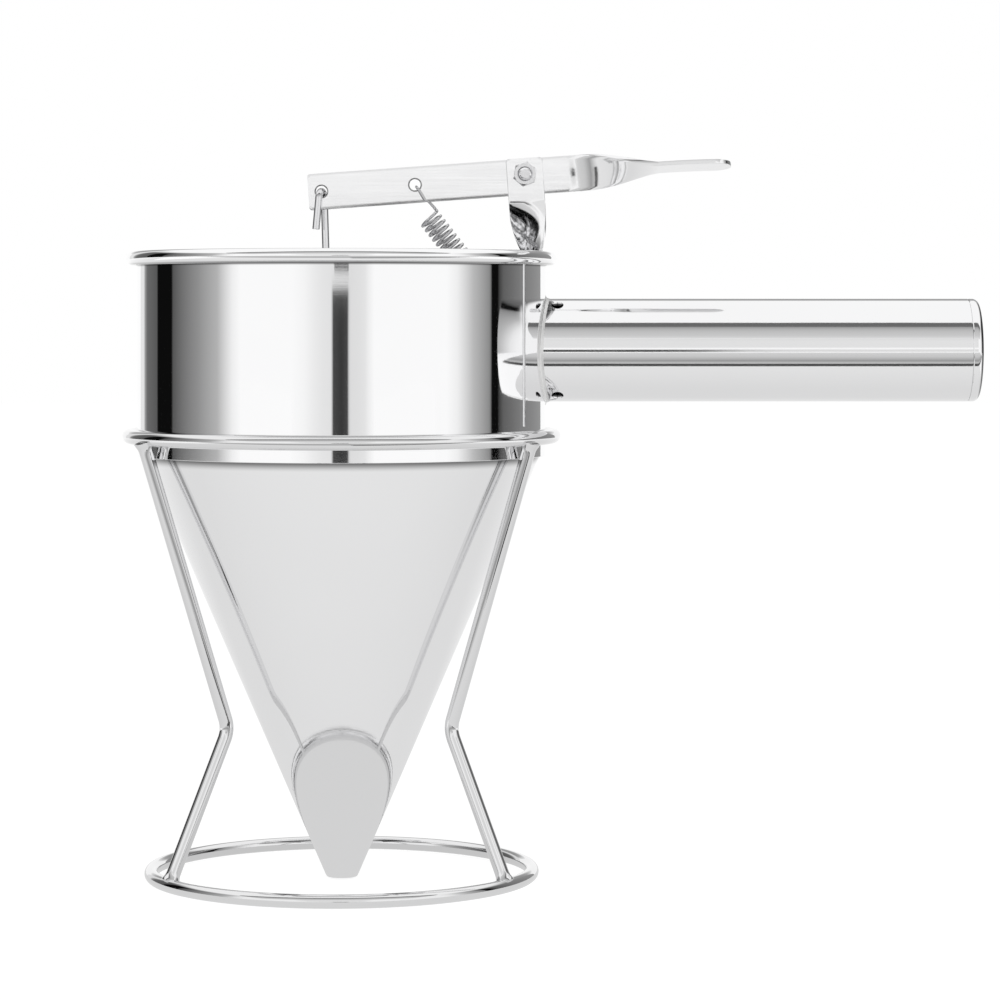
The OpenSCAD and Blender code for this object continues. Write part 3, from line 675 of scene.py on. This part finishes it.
def post_mesh():
    """The post in sections down its path: plate, quarter twist, stretch in the cup, bent tab."""
    half, corner = STRIP_W / 2, STRIP_CORNER
    up = Vector((-math.sin(POST_LEAN), 0, math.cos(POST_LEAN)))
    pivot = Vector((PIVOT[0], POST_Y, PIVOT[1]))
    path = [(pivot + up * (POST_OVER - corner * (1 - math.cos(math.radians(a)))),
             half - corner * (1 - math.sin(math.radians(a)))) for a in steps(0, 90, 6)]
    path += [(pivot + up * h, half) for h in (3, 0, -3, -6, -8.4)]
    path += [(post_point(t), half) for t in steps(0, 1, 110)]
    root = (FLUSH_X - TAB_BEND_R, TAB_BEND_Z)
    path += [(Vector((x, 0, z)), half)
             for x, z in arc(*root, TAB_BEND_R, 0, -math.degrees(TAB_ANGLE), 18)]
    tab_root = path[-1][0]
    tab_dir = Vector((-math.sin(TAB_ANGLE), 0, -math.cos(TAB_ANGLE)))
    path += [(tab_root + tab_dir * d, half) for d in (1, 4)]
    path += [(tab_root + tab_dir * (TAB_LEN - corner * (1 - math.sin(math.radians(a)))),
              half - corner * (1 - math.cos(math.radians(a)))) for a in steps(0, 90, 6)]
    rings = []
    for i, (p, h) in enumerate(path):
        t = (path[min(i + 1, len(path) - 1)][0] - path[max(i - 1, 0)][0]).normalized()
        turn = math.radians(90) * ease((post_from.z - p.z) / POST_TWIST)
        w = Vector((math.cos(turn), -math.sin(turn), 0))
        w = (w - w.dot(t) * t).normalized()
        rings.append(strip_section(p, w, t.cross(w), h))
    return skin("post_strip", rings)


tab_hole = (59.6343, 0, 170.115)
post_holes = [drill((PIVOT[0], POST_Y, PIVOT[1]), (0, 1, 0), BORE_R),
              drill((tab_hole[0], -0.8, tab_hole[2]),
                    (math.cos(TAB_ANGLE), 0, -math.sin(TAB_ANGLE)), LINK_R, 8)]
piece("post_strip", post_mesh(), "funnel", "strip", "strip_steel", "pivot_post",
      cuts=post_holes)


# ---------------------------------------------------------------- bolt, nut and washer
def at_pivot(name, profile, y, turns=96, bumps=None):
    """A profile turned about the pivot, with its height towards the front."""
    return to_front(lathe(name, profile, turns, bumps=bumps), PIVOT[0], y, PIVOT[1])


HEAD_Y = LEVER_Y + STRIP_T / 2 + 0.1
NUT_Y = POST_Y - STRIP_T / 2
NUT_H, BOLT_END, PITCH = 3.2, 1.0, 0.7
BOLT_R, HEAD_R, THREAD_DEPTH = 2.0, 4.0, 0.36
NUT_FLAT, NUT_TURN, CHAMFER_R = 3.5, math.radians(20), 3.42
SHANK = HEAD_Y - NUT_Y + NUT_H + BOLT_END


def thread(r, h, a):
    """A 60 degree thread on the bolt's free end."""
    if r < 1.9 or not SHANK - BOLT_END - 0.9 <= h <= SHANK - 0.2:
        return 0.0
    return -THREAD_DEPTH * abs(((h / PITCH - a / (2 * math.pi)) % 1.0) * 2 - 1)


bolt_profile = ([(0, SHANK), (1.45, SHANK), (1.62, SHANK - 0.15)]
                + [(BOLT_R, h) for h in steps(SHANK - 0.2, SHANK - BOLT_END - 0.9, 24)]
                + [(BOLT_R, 0), (HEAD_R - 0.1, 0), (HEAD_R, -0.1), (HEAD_R, -1.3)]
                + [(HEAD_R - 1.08 + 1.08 * math.cos(math.radians(a)),
                    -1.32 - 1.08 * math.sin(math.radians(a))) for a in steps(8, 90, 10)]
                + [(0, -2.4)])
piece("bolt_round_head", at_pivot("bolt_round_head", bolt_profile, HEAD_Y, 120, thread),
      "funnel", "bolt", "bolt_steel", "pivot_bolt", sharp=math.radians(32))


def nut_mesh():
    """Hexagon nut with its corners turned off at both faces."""
    turns = 180
    rings = []
    for k in range(turns):
        a = 2 * math.pi * k / turns
        off = (a - NUT_TURN) % math.radians(60) - math.radians(30)
        r = NUT_FLAT / math.cos(off)
        low = max(0.0, r - CHAMFER_R) * math.tan(math.radians(30))
        inner = min(CHAMFER_R, r - 0.02)
        rings.append([(BORE_R - 0.35, NUT_H - 0.9), (BORE_R + 0.4, NUT_H), (inner, NUT_H),
                      (r, NUT_H - low - 0.02), (r, low + 0.02), (inner, 0.0),
                      (BORE_R + 0.1, 0.0), (BORE_R - 0.35, 0.35)])
    points, faces = [], []
    m = 8
    for k, ring in enumerate(rings):
        a = 2 * math.pi * k / turns
        points += [(r * math.cos(a), r * math.sin(a), h) for r, h in ring]
        n = (k + 1) % turns
        for j in range(m):
            i = (j + 1) % m
            faces.append((k * m + j, n * m + j, n * m + i, k * m + i))
    return to_front(closed_mesh("hex_nut", points, faces), PIVOT[0], NUT_Y, PIVOT[1])


piece("hex_nut", nut_mesh(), "funnel", "bolt", "bolt_steel", "pivot_nut", sharp=math.radians(20))
WASHER_R, WASHER_H = 4.5, 0.7
washer_profile = [(BORE_R, 0.08), (BORE_R + 0.08, 0), (WASHER_R - 0.1, 0), (WASHER_R, 0.1),
                  (WASHER_R, WASHER_H - 0.1), (WASHER_R - 0.1, WASHER_H),
                  (BORE_R + 0.08, WASHER_H), (BORE_R, WASHER_H - 0.08)]
piece("flat_washer", at_pivot("flat_washer", washer_profile, LEVER_Y - STRIP_T / 2 - 0.1),
      "funnel", "bolt", "bolt_steel", "pivot_washer")

# ---------------------------------------------------------------- return spring
SPRING_R, COIL_R, HOOK_R, HOOK_IN = 0.5, 3.35, 1.55, 0.5
HOOK_PLAY, HOOK_FREE, COIL_SIDES = 0.3, 4.2, 32
HOOK_LEAD, TAIL_LEAD, COIL_BEND, TURNS = 10.3, 5.0, 1.2, 25.5
spring_hole = Vector(to_world(-SPRING_ARM, 0, 0)).xz
tab_hole_xz = Vector((tab_hole[0], tab_hole[2]))
HOOK_SAG = HOOK_R - math.sqrt(HOOK_R**2 - (STRIP_T / 2) ** 2)
TAB_SHIFT = LINK_R - SPRING_R - HOOK_PLAY
hook_top = spring_hole + (tab_hole_xz - spring_hole).normalized() * (TAB_SHIFT - HOOK_SAG)
hook_low = tab_hole_xz + TAB_SHIFT * Vector((-math.sin(TAB_ANGLE), -math.cos(TAB_ANGLE)))
span = hook_low - hook_top
HOOK_OFFSET = 2 * COIL_R - HOOK_IN
COIL_ANGLE = math.atan2(span.y, span.x) + math.asin(HOOK_OFFSET / span.length)
axis_s = Vector((math.cos(COIL_ANGLE), math.sin(COIL_ANGLE)))
axis_p = Vector((-math.sin(COIL_ANGLE), math.cos(COIL_ANGLE)))
coil_start = hook_top + HOOK_LEAD * axis_s - (COIL_R - HOOK_IN) * axis_p
COIL_LEN = math.sqrt(span.length**2 - HOOK_OFFSET**2) - HOOK_LEAD - TAIL_LEAD
COIL_Y = LEVER_Y + HOOK_R - COIL_BEND
LIP_TURN = (LINK_R - TAB_SHIFT + TAB_EDGE + HOOK_PLAY + SPRING_R) / 2


def in_coil(s, p, y):
    """From the coil (along its axis, across it, depth) into the frame."""
    q = coil_start + s * axis_s + p * axis_p
    return (q.x, y, q.y)


def spring_path():
    """One wire: hook in the lever's hole, lead, curls, tail and the hook in the tab."""
    upper_s, upper_p = HOOK_R - HOOK_LEAD, COIL_R - HOOK_IN
    lip_s = COIL_LEN + TAIL_LEAD + STRIP_T / 2
    rad = math.radians
    path = [in_coil(upper_s + HOOK_FREE * (1 - t), upper_p - HOOK_IN * (1 - t), LEVER_Y - HOOK_R)
            for t in steps(0, 0.9, 5)]
    path += [in_coil(upper_s - HOOK_R * math.sin(rad(a)), upper_p,
                     LEVER_Y - HOOK_R * math.cos(rad(a))) for a in steps(0, 180, 24)]
    path += [in_coil(mix(upper_s, -COIL_BEND, t), mix(upper_p, COIL_R, t), LEVER_Y + HOOK_R)
             for t in steps(0.1, 0.9, 8)]
    path += [in_coil(COIL_BEND * (math.sin(rad(a)) - 1), COIL_R,
                     COIL_Y + COIL_BEND * math.cos(rad(a))) for a in steps(0, 82, 8)]
    count = int(COIL_SIDES * TURNS)
    pitch = COIL_LEN / TURNS
    for i in range(count + 1):
        turn = 2 * math.pi * i / COIL_SIDES
        path.append(in_coil(pitch * i / COIL_SIDES, COIL_R * math.cos(turn),
                            COIL_Y - COIL_R * math.sin(turn)))
    path += [in_coil(COIL_LEN + COIL_BEND * (1 - math.cos(rad(a))), -COIL_R,
                     COIL_Y + COIL_BEND * math.sin(rad(a))) for a in steps(10, 90, 8)]
    tail_y = COIL_Y + COIL_BEND
    path += [in_coil(mix(COIL_LEN + COIL_BEND, lip_s, t), -COIL_R, tail_y)
             for t in steps(0.15, 0.9, 6)]
    path += [in_coil(lip_s + LIP_TURN * math.sin(rad(a)),
                     -COIL_R - LIP_TURN * (1 - math.cos(rad(a))), tail_y)
             for a in steps(0, 180, 24)]
    path += [in_coil(mix(lip_s, lip_s - STRIP_T - 1.5, t), -COIL_R - 2 * LIP_TURN, tail_y)
             for t in steps(0.2, 1, 5)]
    return path


spring_mesh = skin("coil_spring", capped(spring_path(), SPRING_R, 14, ease_mm=0.1))
spring = piece("coil_spring", spring_mesh, None, "spring", "spring_wire", "return_spring",
               sharp=math.radians(50), weighted=False)
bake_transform(spring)

# ---------------------------------------------------------------- pull rod and stopper
ROD_R, HOOK_SPLAY, HOOK_LEG, HOOK_SIDE = 1.2, math.radians(6.8), 10.0, 0.8
rod_hole = Vector(to_world(-ROD_ARM, 0, 0)).xz
HOOK_BEND = -LEVER_Y
rod_top = Vector((rod_hole[0] + HOOK_SIDE, 0, rod_hole[1] - HOOK_BEND))
STOP_Z = TIP_Z + 2.5
SHOULDER_Z, NECK_Z = STOP_Z + 6.5, STOP_Z + 10.5
ROD_FOOT, ROD_STRAIGHT = STOP_Z + 3.25, NECK_Z + 3 + 9.6


def rod_path():
    """Straight out of the stopper, leaning to the lever's hole, over in a half turn and down."""
    lean = math.atan2(-rod_top.x, rod_hole[1] - ROD_STRAIGHT)
    foot = Vector((0, 0, ROD_STRAIGHT))
    path = [Vector((0, 0, ROD_FOOT)), foot * 0.5 + Vector((0, 0, ROD_FOOT)) * 0.5, foot]
    path += [foot.lerp(rod_top, t) for t in steps(0, 1, 24)[1:]]
    for i in range(1, 37):
        a = math.pi * i / 36
        path.append(rod_top + HOOK_BEND * Vector((0, math.cos(a) - 1, math.sin(a)))
                    + HOOK_SIDE * Vector((math.cos(a) - 1, 0, 0)))
    leg = Vector((-math.sin(HOOK_SPLAY - lean), 0, -math.cos(HOOK_SPLAY - lean)))
    end = path[-1]
    path += [end + leg * HOOK_LEG * t for t in (0.1, 0.4, 0.7, 1)]
    return path


piece("rod_wire_hook", skin("rod_wire_hook", capped(rod_path(), ROD_R, 28, (1, 0, 0), 0.15)),
      "rod", "rod", "rod_wire", "pull_rod", sharp=math.radians(40), weighted=False)

seat_play = 0.25 * math.hypot(1, CONE_SLOPE)
nose_r = TIP_R + (STOP_Z - TIP_Z) * CONE_SLOPE - SHEET_X - seat_play
wide_r = TIP_R + (SHOULDER_Z - TIP_Z) * CONE_SLOPE - SHEET_X - seat_play
socket_r = ROD_R + 0.05
neck_r = socket_r + 1.2
stopper_profile = (
    [(0, STOP_Z), (nose_r - 0.3, STOP_Z), (nose_r - 0.08, STOP_Z + 0.08),
     (nose_r + 0.1, STOP_Z + 0.4), (mix(nose_r, wide_r, 0.5), STOP_Z + 3.25),
     (wide_r - 0.05, SHOULDER_Z - 0.2), (wide_r, SHOULDER_Z + 0.1), (wide_r, SHOULDER_Z + 0.9)]
    + [(mix(wide_r, neck_r, 0.5 - 0.5 * math.cos(math.pi * t)),
        mix(SHOULDER_Z + 1.1, NECK_Z, math.sin(math.pi * t / 2) ** 0.9))
       for t in steps(0.05, 1, 12)]
    + [(neck_r, NECK_Z + 2.8), (neck_r - 0.2, NECK_Z + 3), (socket_r, NECK_Z + 3),
       (socket_r, ROD_FOOT - 0.05), (0, ROD_FOOT - 0.05)]
)
piece("stop_plug", lathe("stop_plug", stopper_profile, 128),
      "rod", "turned", "turned_steel", "stopper")


# ---------------------------------------------------------------- stand
def ring_profile(r, z):
    return arc(r, z, WIRE_R, 0, 350, 35)


for name, r, z, node in (("ring_upper", TOP_RING_R, TOP_RING_Z, "stand_top_ring"),
                         ("ring_lower", BASE_RING_R, WIRE_R, "stand_base_ring")):
    piece(name, lathe(name, ring_profile(r, z), 288), "stand", "wire", "stand_wire", node,
          sharp=math.radians(60), weighted=False)


def leg_path():
    """The wire's middle in the leg's own plane, as the solid has it, run on into both rings."""
    waist = Vector(WAIST)
    seat = Vector((CUP_R, SEAT_Z)) - waist
    upper = math.atan2(seat.y, seat.x) - math.asin((WIRE_R + 0.2) / seat.length)
    up = Vector((math.cos(upper), math.sin(upper)))
    to_ring = Vector((TOP_RING_R, TOP_RING_Z)) - waist
    along = to_ring.dot(up)
    off = math.sqrt(max(0, to_ring.length_squared - along**2))
    up_len = along - math.sqrt(max(0, WIRE_R**2 - off**2)) + WIRE_R / 3
    down = Vector((BASE_RING_R, WIRE_R)) - waist
    down_len = down.length - WIRE_R * 0.55
    down.normalize()
    half = math.acos(up.dot(down)) / 2
    centre = waist + (up + down).normalized() * WAIST_BEND_R / math.sin(half)
    a0 = waist + up * WAIST_BEND_R / math.tan(half) - centre
    start = math.degrees(math.atan2(a0.y, a0.x))
    turn = 180 - 2 * math.degrees(half)
    bent = arc(centre.x, centre.y, WAIST_BEND_R, start, start + turn, 20)
    top, foot = waist + up * up_len, waist + down * down_len
    first, last = Vector(bent[0]), Vector(bent[-1])
    path = [top.lerp(first, t)
            for t in (0, 0.006, 0.012, 0.018, 0.024, 0.03, 0.04, 0.05, 0.2, 0.5, 0.8)]
    path += [Vector(q) for q in bent]
    path += [last.lerp(foot, t) for t in (0.3, 0.6, 0.9, 0.93, 0.95, 0.965, 0.98, 0.99, 1)]
    return path


def leg_mesh(name, azimuth, weld):
    """The bent wire turned to its azimuth, thicker by the weld at both ends."""
    path = leg_path()
    run = [0.0]
    for a, b in zip(path, path[1:]):
        run.append(run[-1] + (b - a).length)
    total = run[-1]

    def r(i):
        near = min(run[i], total - run[i])
        return WIRE_R + weld * math.exp(-((near / WELD_RUN) ** 2))

    rings = rod_rings([(p.x, 0, p.y) for p in path], r, 32, (0, 1, 0))
    mesh = skin(name, rings)
    mesh.transform(Matrix.Rotation(math.radians(azimuth), 4, "Z"))
    return mesh


LEGS = (("left", 210, 0.75), ("right", 330, 0.75), ("back", 90, 0.0))  # azimuth, weld
for side, azimuth, weld in LEGS:
    piece(f"leg_{side}", leg_mesh(f"leg_{side}", azimuth, weld), "stand", "wire", "stand_wire",
          f"stand_leg_{side}", sharp=math.radians(50), weighted=False)


# ---------------------------------------------------------------- stage
FLOOR_DIFFUSE, FLOOR_SEEN, FLOOR_GLOW = 0.86, 0.25, 0.87
WORLD_SEEN, WORLD_LIT = 1.0, 0.56
WALL_R = 3.0
CARD_Z, LINE_Z = 0.0003, 0.0004  # the cards lie just over the floor


def plain(name, build):
    """A material whose nodes a function makes."""
    mat, tree = new_nodes(name)
    out = tree.nodes.new("ShaderNodeOutputMaterial")
    build(tree, out)
    return mat


def stage_object(name, points, faces, material, glossy_only=True):
    """A piece of the studio; the cards are seen in reflections alone."""
    mesh = bpy.data.meshes.new(name)
    mesh.from_pydata(points, [], faces)
    mesh.materials.append(material)
    obj = bpy.data.objects.new(name, mesh)
    bpy.context.scene.collection.objects.link(obj)
    if glossy_only:
        obj.visible_camera = False
        obj.visible_shadow = False
        obj.visible_diffuse = False


def in_view(tree):
    """1 for camera, glossy and transmission rays, 0 for the rays that light the object."""
    path = tree.nodes.new("ShaderNodeLightPath")
    mirrored = math_node(tree, "MAXIMUM", path.outputs["Is Glossy Ray"],
                         path.outputs["Is Transmission Ray"])
    return math_node(tree, "MAXIMUM", path.outputs["Is Camera Ray"], mirrored)


def choose_shader(tree, share, first, second, out):
    """Mixes two shaders by a share, 0 for the first, into an output."""
    choose = tree.nodes.new("ShaderNodeMixShader")
    link(tree, share, choose.inputs[0])
    link(tree, first.outputs[0], choose.inputs[1])
    link(tree, second.outputs[0], choose.inputs[2])
    link(tree, choose.outputs[0], out.inputs["Surface"])


def seen_white(tree, out):
    """Diffuse floor for the shadow, under a white that camera, metal and glass see."""
    def diffuse(value):
        node = tree.nodes.new("ShaderNodeBsdfDiffuse")
        node.inputs["Color"].default_value = (value, value, value, 1)
        return node

    glow = tree.nodes.new("ShaderNodeEmission")
    glow.inputs["Strength"].default_value = FLOOR_GLOW
    both = tree.nodes.new("ShaderNodeAddShader")
    link(tree, diffuse(FLOOR_SEEN).outputs[0], both.inputs[0])
    link(tree, glow.outputs[0], both.inputs[1])
    choose_shader(tree, in_view(tree), diffuse(FLOOR_DIFFUSE), both, out)


stage_object("floor", [(-6, -6, 0), (6, -6, 0), (6, 6, 0), (-6, 6, 0)], [(0, 1, 2, 3)],
             plain("floor_white", seen_white), glossy_only=False)


def axes(tree, kind):
    """X, Y and Z of one of the object's own sets of coordinates."""
    coord = tree.nodes.new("ShaderNodeTexCoord")
    split = tree.nodes.new("ShaderNodeSeparateXYZ")
    link(tree, coord.outputs[kind], split.inputs[0])
    return split.outputs


def grey(v):
    return (v, v, v, 1)


def marked_ramp(tree, marks, place):
    """A ramp of greys through (position, value) marks."""
    ramp = tree.nodes.new("ShaderNodeValToRGB")
    elements = ramp.color_ramp.elements
    for k, (at, v) in enumerate(marks):
        last = k == len(marks) - 1
        mark = elements[0] if k == 0 else elements[-1] if last else elements.new(at)
        mark.position = at
        mark.color = grey(v)
    link(tree, place, ramp.inputs[0])
    return ramp.outputs[0]


def emit(tree, color, out):
    glow = tree.nodes.new("ShaderNodeEmission")
    link(tree, color, glow.inputs["Color"])
    link(tree, glow.outputs[0], out.inputs["Surface"])


def grey_fall(values, axis="Y"):
    """A card whose brightness runs through these values along an axis."""
    def build(tree, out):
        marks = [(i / (len(values) - 1), v) for i, v in enumerate(values)]
        emit(tree, marked_ramp(tree, marks, axes(tree, "Generated")[axis]), out)
    return build


def upright(name, a0, a1, distance, build, low=-0.02, high=0.9):
    """An upright card round the object from azimuth a0 to a1 degrees; 0 is the camera's side,
    90 the handle's."""
    n = max(1, int(abs(a1 - a0) / 4))
    pts, faces = [], []
    for i, a in enumerate(steps(math.radians(a0), math.radians(a1), n)):
        x, y = distance * math.sin(a), -distance * math.cos(a)
        pts += [(x, y, low), (x, y, high)]
        if i:
            faces.append((2 * i - 2, 2 * i, 2 * i + 1, 2 * i - 1))
    stage_object(name, pts, faces, plain(name, build))


def lin(v):
    """Linear value of an sRGB level out of 255."""
    c = v / 255
    return c / 12.92 if c <= 0.04045 else ((c + 0.055) / 1.055) ** 2.4


def seen(v, tint=0.95):
    """What a card has to be for polished steel to show the level v."""
    return min(1.0, lin(v) / tint)


def wall(levels, low_z, high_z, upper=255):
    """Emission by azimuth round the object, (degrees, level) pairs, that fades to one level
    between two heights."""
    def build(tree, out):
        at = axes(tree, "Object")
        turn = math_node(tree, "ARCTAN2", at["X"], math_node(tree, "MULTIPLY", at["Y"], -1.0))
        a0, a1 = levels[0][0], levels[-1][0]
        place = tree.nodes.new("ShaderNodeMapRange")
        place.inputs["From Min"].default_value = math.radians(a0)
        place.inputs["From Max"].default_value = math.radians(a1)
        link(tree, turn, place.inputs["Value"])
        marks = [((a - a0) / (a1 - a0), seen(v)) for a, v in levels]
        round_tone = marked_ramp(tree, marks, place.outputs[0])
        fade = tree.nodes.new("ShaderNodeMapRange")
        fade.interpolation_type = "SMOOTHSTEP"
        fade.inputs["From Min"].default_value = low_z
        fade.inputs["From Max"].default_value = high_z
        link(tree, at["Z"], fade.inputs["Value"])
        tone = tree.nodes.new("ShaderNodeMix")
        tone.data_type = "RGBA"
        tone.inputs["B"].default_value = grey(seen(upper))
        link(tree, fade.outputs[0], tone.inputs["Factor"])
        link(tree, round_tone, tone.inputs["A"])
        emit(tree, tone.outputs["Result"], out)
    return build


# levels of what the cup mirrors, by azimuth in degrees: cards, gaps and the dark flags beside it
LEFT_WALL = [(-152, 226), (-144, 226), (-141, 150), (-137, 104), (-123, 88), (-121.5, 12),
             (-106.5, 12), (-105, 84), (-84, 142), (-70, 177), (-60, 238), (-55, 252)]
RIGHT_WALL = [(55, 252), (62, 250), (69, 238), (80, 184), (92, 138), (93.2, 110), (94, 12),
              (99, 12), (100, 60), (104, 95), (112, 108), (122, 125), (134, 132), (152, 148)]
FRONT_PANEL = [(-25, 252), (-18, 244), (-13, 235), (-8, 228), (-4.5, 226), (0, 222), (5, 219),
               (8, 220), (12, 223), (15, 227), (17, 238), (20, 252)]
FRONT_STRIP = [(-3.1, 212), (-2.2, 70), (2.3, 55), (5.5, 70), (6.4, 208)]
FRONT_SPOT = [(-1.6, 45), (2, 38), (6.2, 45)]
HIGH_PANEL = [(-25, 252), (-16, 228), (0, 226), (14, 228), (20, 252)]
upright("wall_left", -152, -55, WALL_R, wall(LEFT_WALL, 1.6, 2.6), high=2.6)
upright("wall_right", 55, 152, WALL_R, wall(RIGHT_WALL, 1.6, 2.6), high=2.6)
upright("panel_front", -25, 20, WALL_R, wall(FRONT_PANEL, 0.25, 0.29, 250), high=0.47)
upright("strip_front", -3.4, 7.0, WALL_R - 0.1, wall(FRONT_STRIP, 0.208, 0.2095, 215),
        high=0.2096)
upright("spot_front", -1.6, 6.2, WALL_R - 0.1, wall(FRONT_SPOT, 9, 10), low=0.2315, high=0.243)
upright("panel_high", -25, 20, WALL_R + 0.02, wall(HIGH_PANEL, 1.2, 1.6, 222),
        low=0.46, high=1.6)


def across(name, levels, far, near, left=-1.3, right=1.3):
    """A card from its far (y, z) edge to its near one, its level running through these values
    on the way."""
    corners = [(left, *near), (right, *near), (right, *far), (left, *far)]
    stage_object(name, corners, [(0, 1, 2, 3)],
                 plain(name, grey_fall([seen(v, TUBE_TINT) for v in levels])))


# what the level tube mirrors from its axis upwards and downwards: soft greys with a dark line
TUBE_TINT = 0.92
across("sky_grey", (222, 208, 199, 195, 189, 178, 150), (-1.30, 0.80), (-0.64, 1.02))
across("sky_line", (110, 100, 110), (-0.64, 1.02), (-0.50, 1.185))
across("floor_far", (209, 207, 203, 198), (-1.9, CARD_Z), (-0.72, CARD_Z))
across("floor_grey", (198, 193, 184, 172, 148, 190, 222), (-0.72, CARD_Z), (-0.245, CARD_Z))
across("floor_line", (90, 62, 90), (-0.307, LINE_Z), (-0.245, LINE_Z), left=0.035)
# painted shadow: the floor near the object, darker towards the object's middle, for the metal to
# mirror
across("floor_near_shadow", (226, 222, 216, 216, 222), (-0.245, CARD_Z), (0.25, CARD_Z), -0.42, 0.42)
across("floor_back", (222, 232, 238, 244, 250), (0.25, CARD_Z), (1.6, CARD_Z))
BACK_LEVELS = (235, 170, 150, 160, 180, 245)
stage_object("back_grey", [(-3.5, 3, 0.8), (3.5, 3, 0.8), (3.5, 3, 2.4), (-3.5, 3, 2.4)],
             [(0, 1, 2, 3)], plain("back_grey", grey_fall([seen(v) for v in BACK_LEVELS], "Z")))

# the round of floor under the cone, which its tip mirrors: a painted shadow, darker than the floor,
# seen in reflections alone
UNDER_R, SHADOW_UNDER_LEVEL, UNDER_SIDES = 0.0605, 206, 96
under = [2 * math.pi * k / UNDER_SIDES for k in range(UNDER_SIDES)]
stage_object("floor_under_shadow", [(UNDER_R * math.cos(a), UNDER_R * math.sin(a), LINE_Z) for a in under],
             [tuple(range(UNDER_SIDES))],
             plain("floor_under_shadow", grey_fall([seen(SHADOW_UNDER_LEVEL, TUBE_TINT)] * 2)))

world = bpy.data.worlds.new("studio")
bpy.context.scene.world = world
world.use_nodes = True
tree = world.node_tree
tree.nodes.clear()


def background(strength):
    """White light from all round."""
    node = tree.nodes.new("ShaderNodeBackground")
    node.inputs["Color"].default_value = (1, 1, 1, 1)
    node.inputs["Strength"].default_value = strength
    return node


choose_shader(tree, in_view(tree), background(WORLD_LIT), background(WORLD_SEEN),
              tree.nodes.new("ShaderNodeOutputWorld"))


def area(name, place, aim, size, power):
    """A soft lamp that lights and isn't mirrored."""
    data = bpy.data.lights.new(name, "AREA")
    data.shape = "SQUARE"
    data.size = size
    data.energy = power
    obj = bpy.data.objects.new(name, data)
    bpy.context.scene.collection.objects.link(obj)
    obj.location = place
    obj.rotation_mode = "QUATERNION"
    obj.rotation_quaternion = (Vector(aim) - Vector(place)).to_track_quat("-Z", "Y")
    obj.visible_camera = False
    obj.visible_glossy = False


LIGHT_AIM = (0.03, 0, 0.12)
area("key", (-0.7, -0.9, 1.3), LIGHT_AIM, 1.0, 5)
area("fill", (1.1, -0.6, 1.0), LIGHT_AIM, 1.0, 3)

# ---------------------------------------------------------------- camera
MM_PER_PIXEL, IMAGE, SENSOR = 0.325, 1000, 36
CAM_D, CAM_H, CAM_X = 1160.0, 183.5, 51.35
TABLE_ROW = 877.4  # image row of the table's height at the object's middle plane
cam_data = bpy.data.cameras.new("camera")
cam_data.sensor_width = SENSOR
cam_data.lens = SENSOR * CAM_D / (MM_PER_PIXEL * IMAGE)
cam_data.shift_y = (TABLE_ROW - CAM_H / MM_PER_PIXEL - IMAGE / 2) / IMAGE
cam = bpy.data.objects.new("camera", cam_data)
bpy.context.scene.collection.objects.link(cam)
cam.location = (CAM_X * MM, -CAM_D * MM, CAM_H * MM)
cam.rotation_euler = (math.radians(90), 0, 0)
cam_data.clip_start, cam_data.clip_end = 0.05, 30
bpy.context.scene.camera = cam

bpy.context.scene.view_settings.view_transform = "Standard"
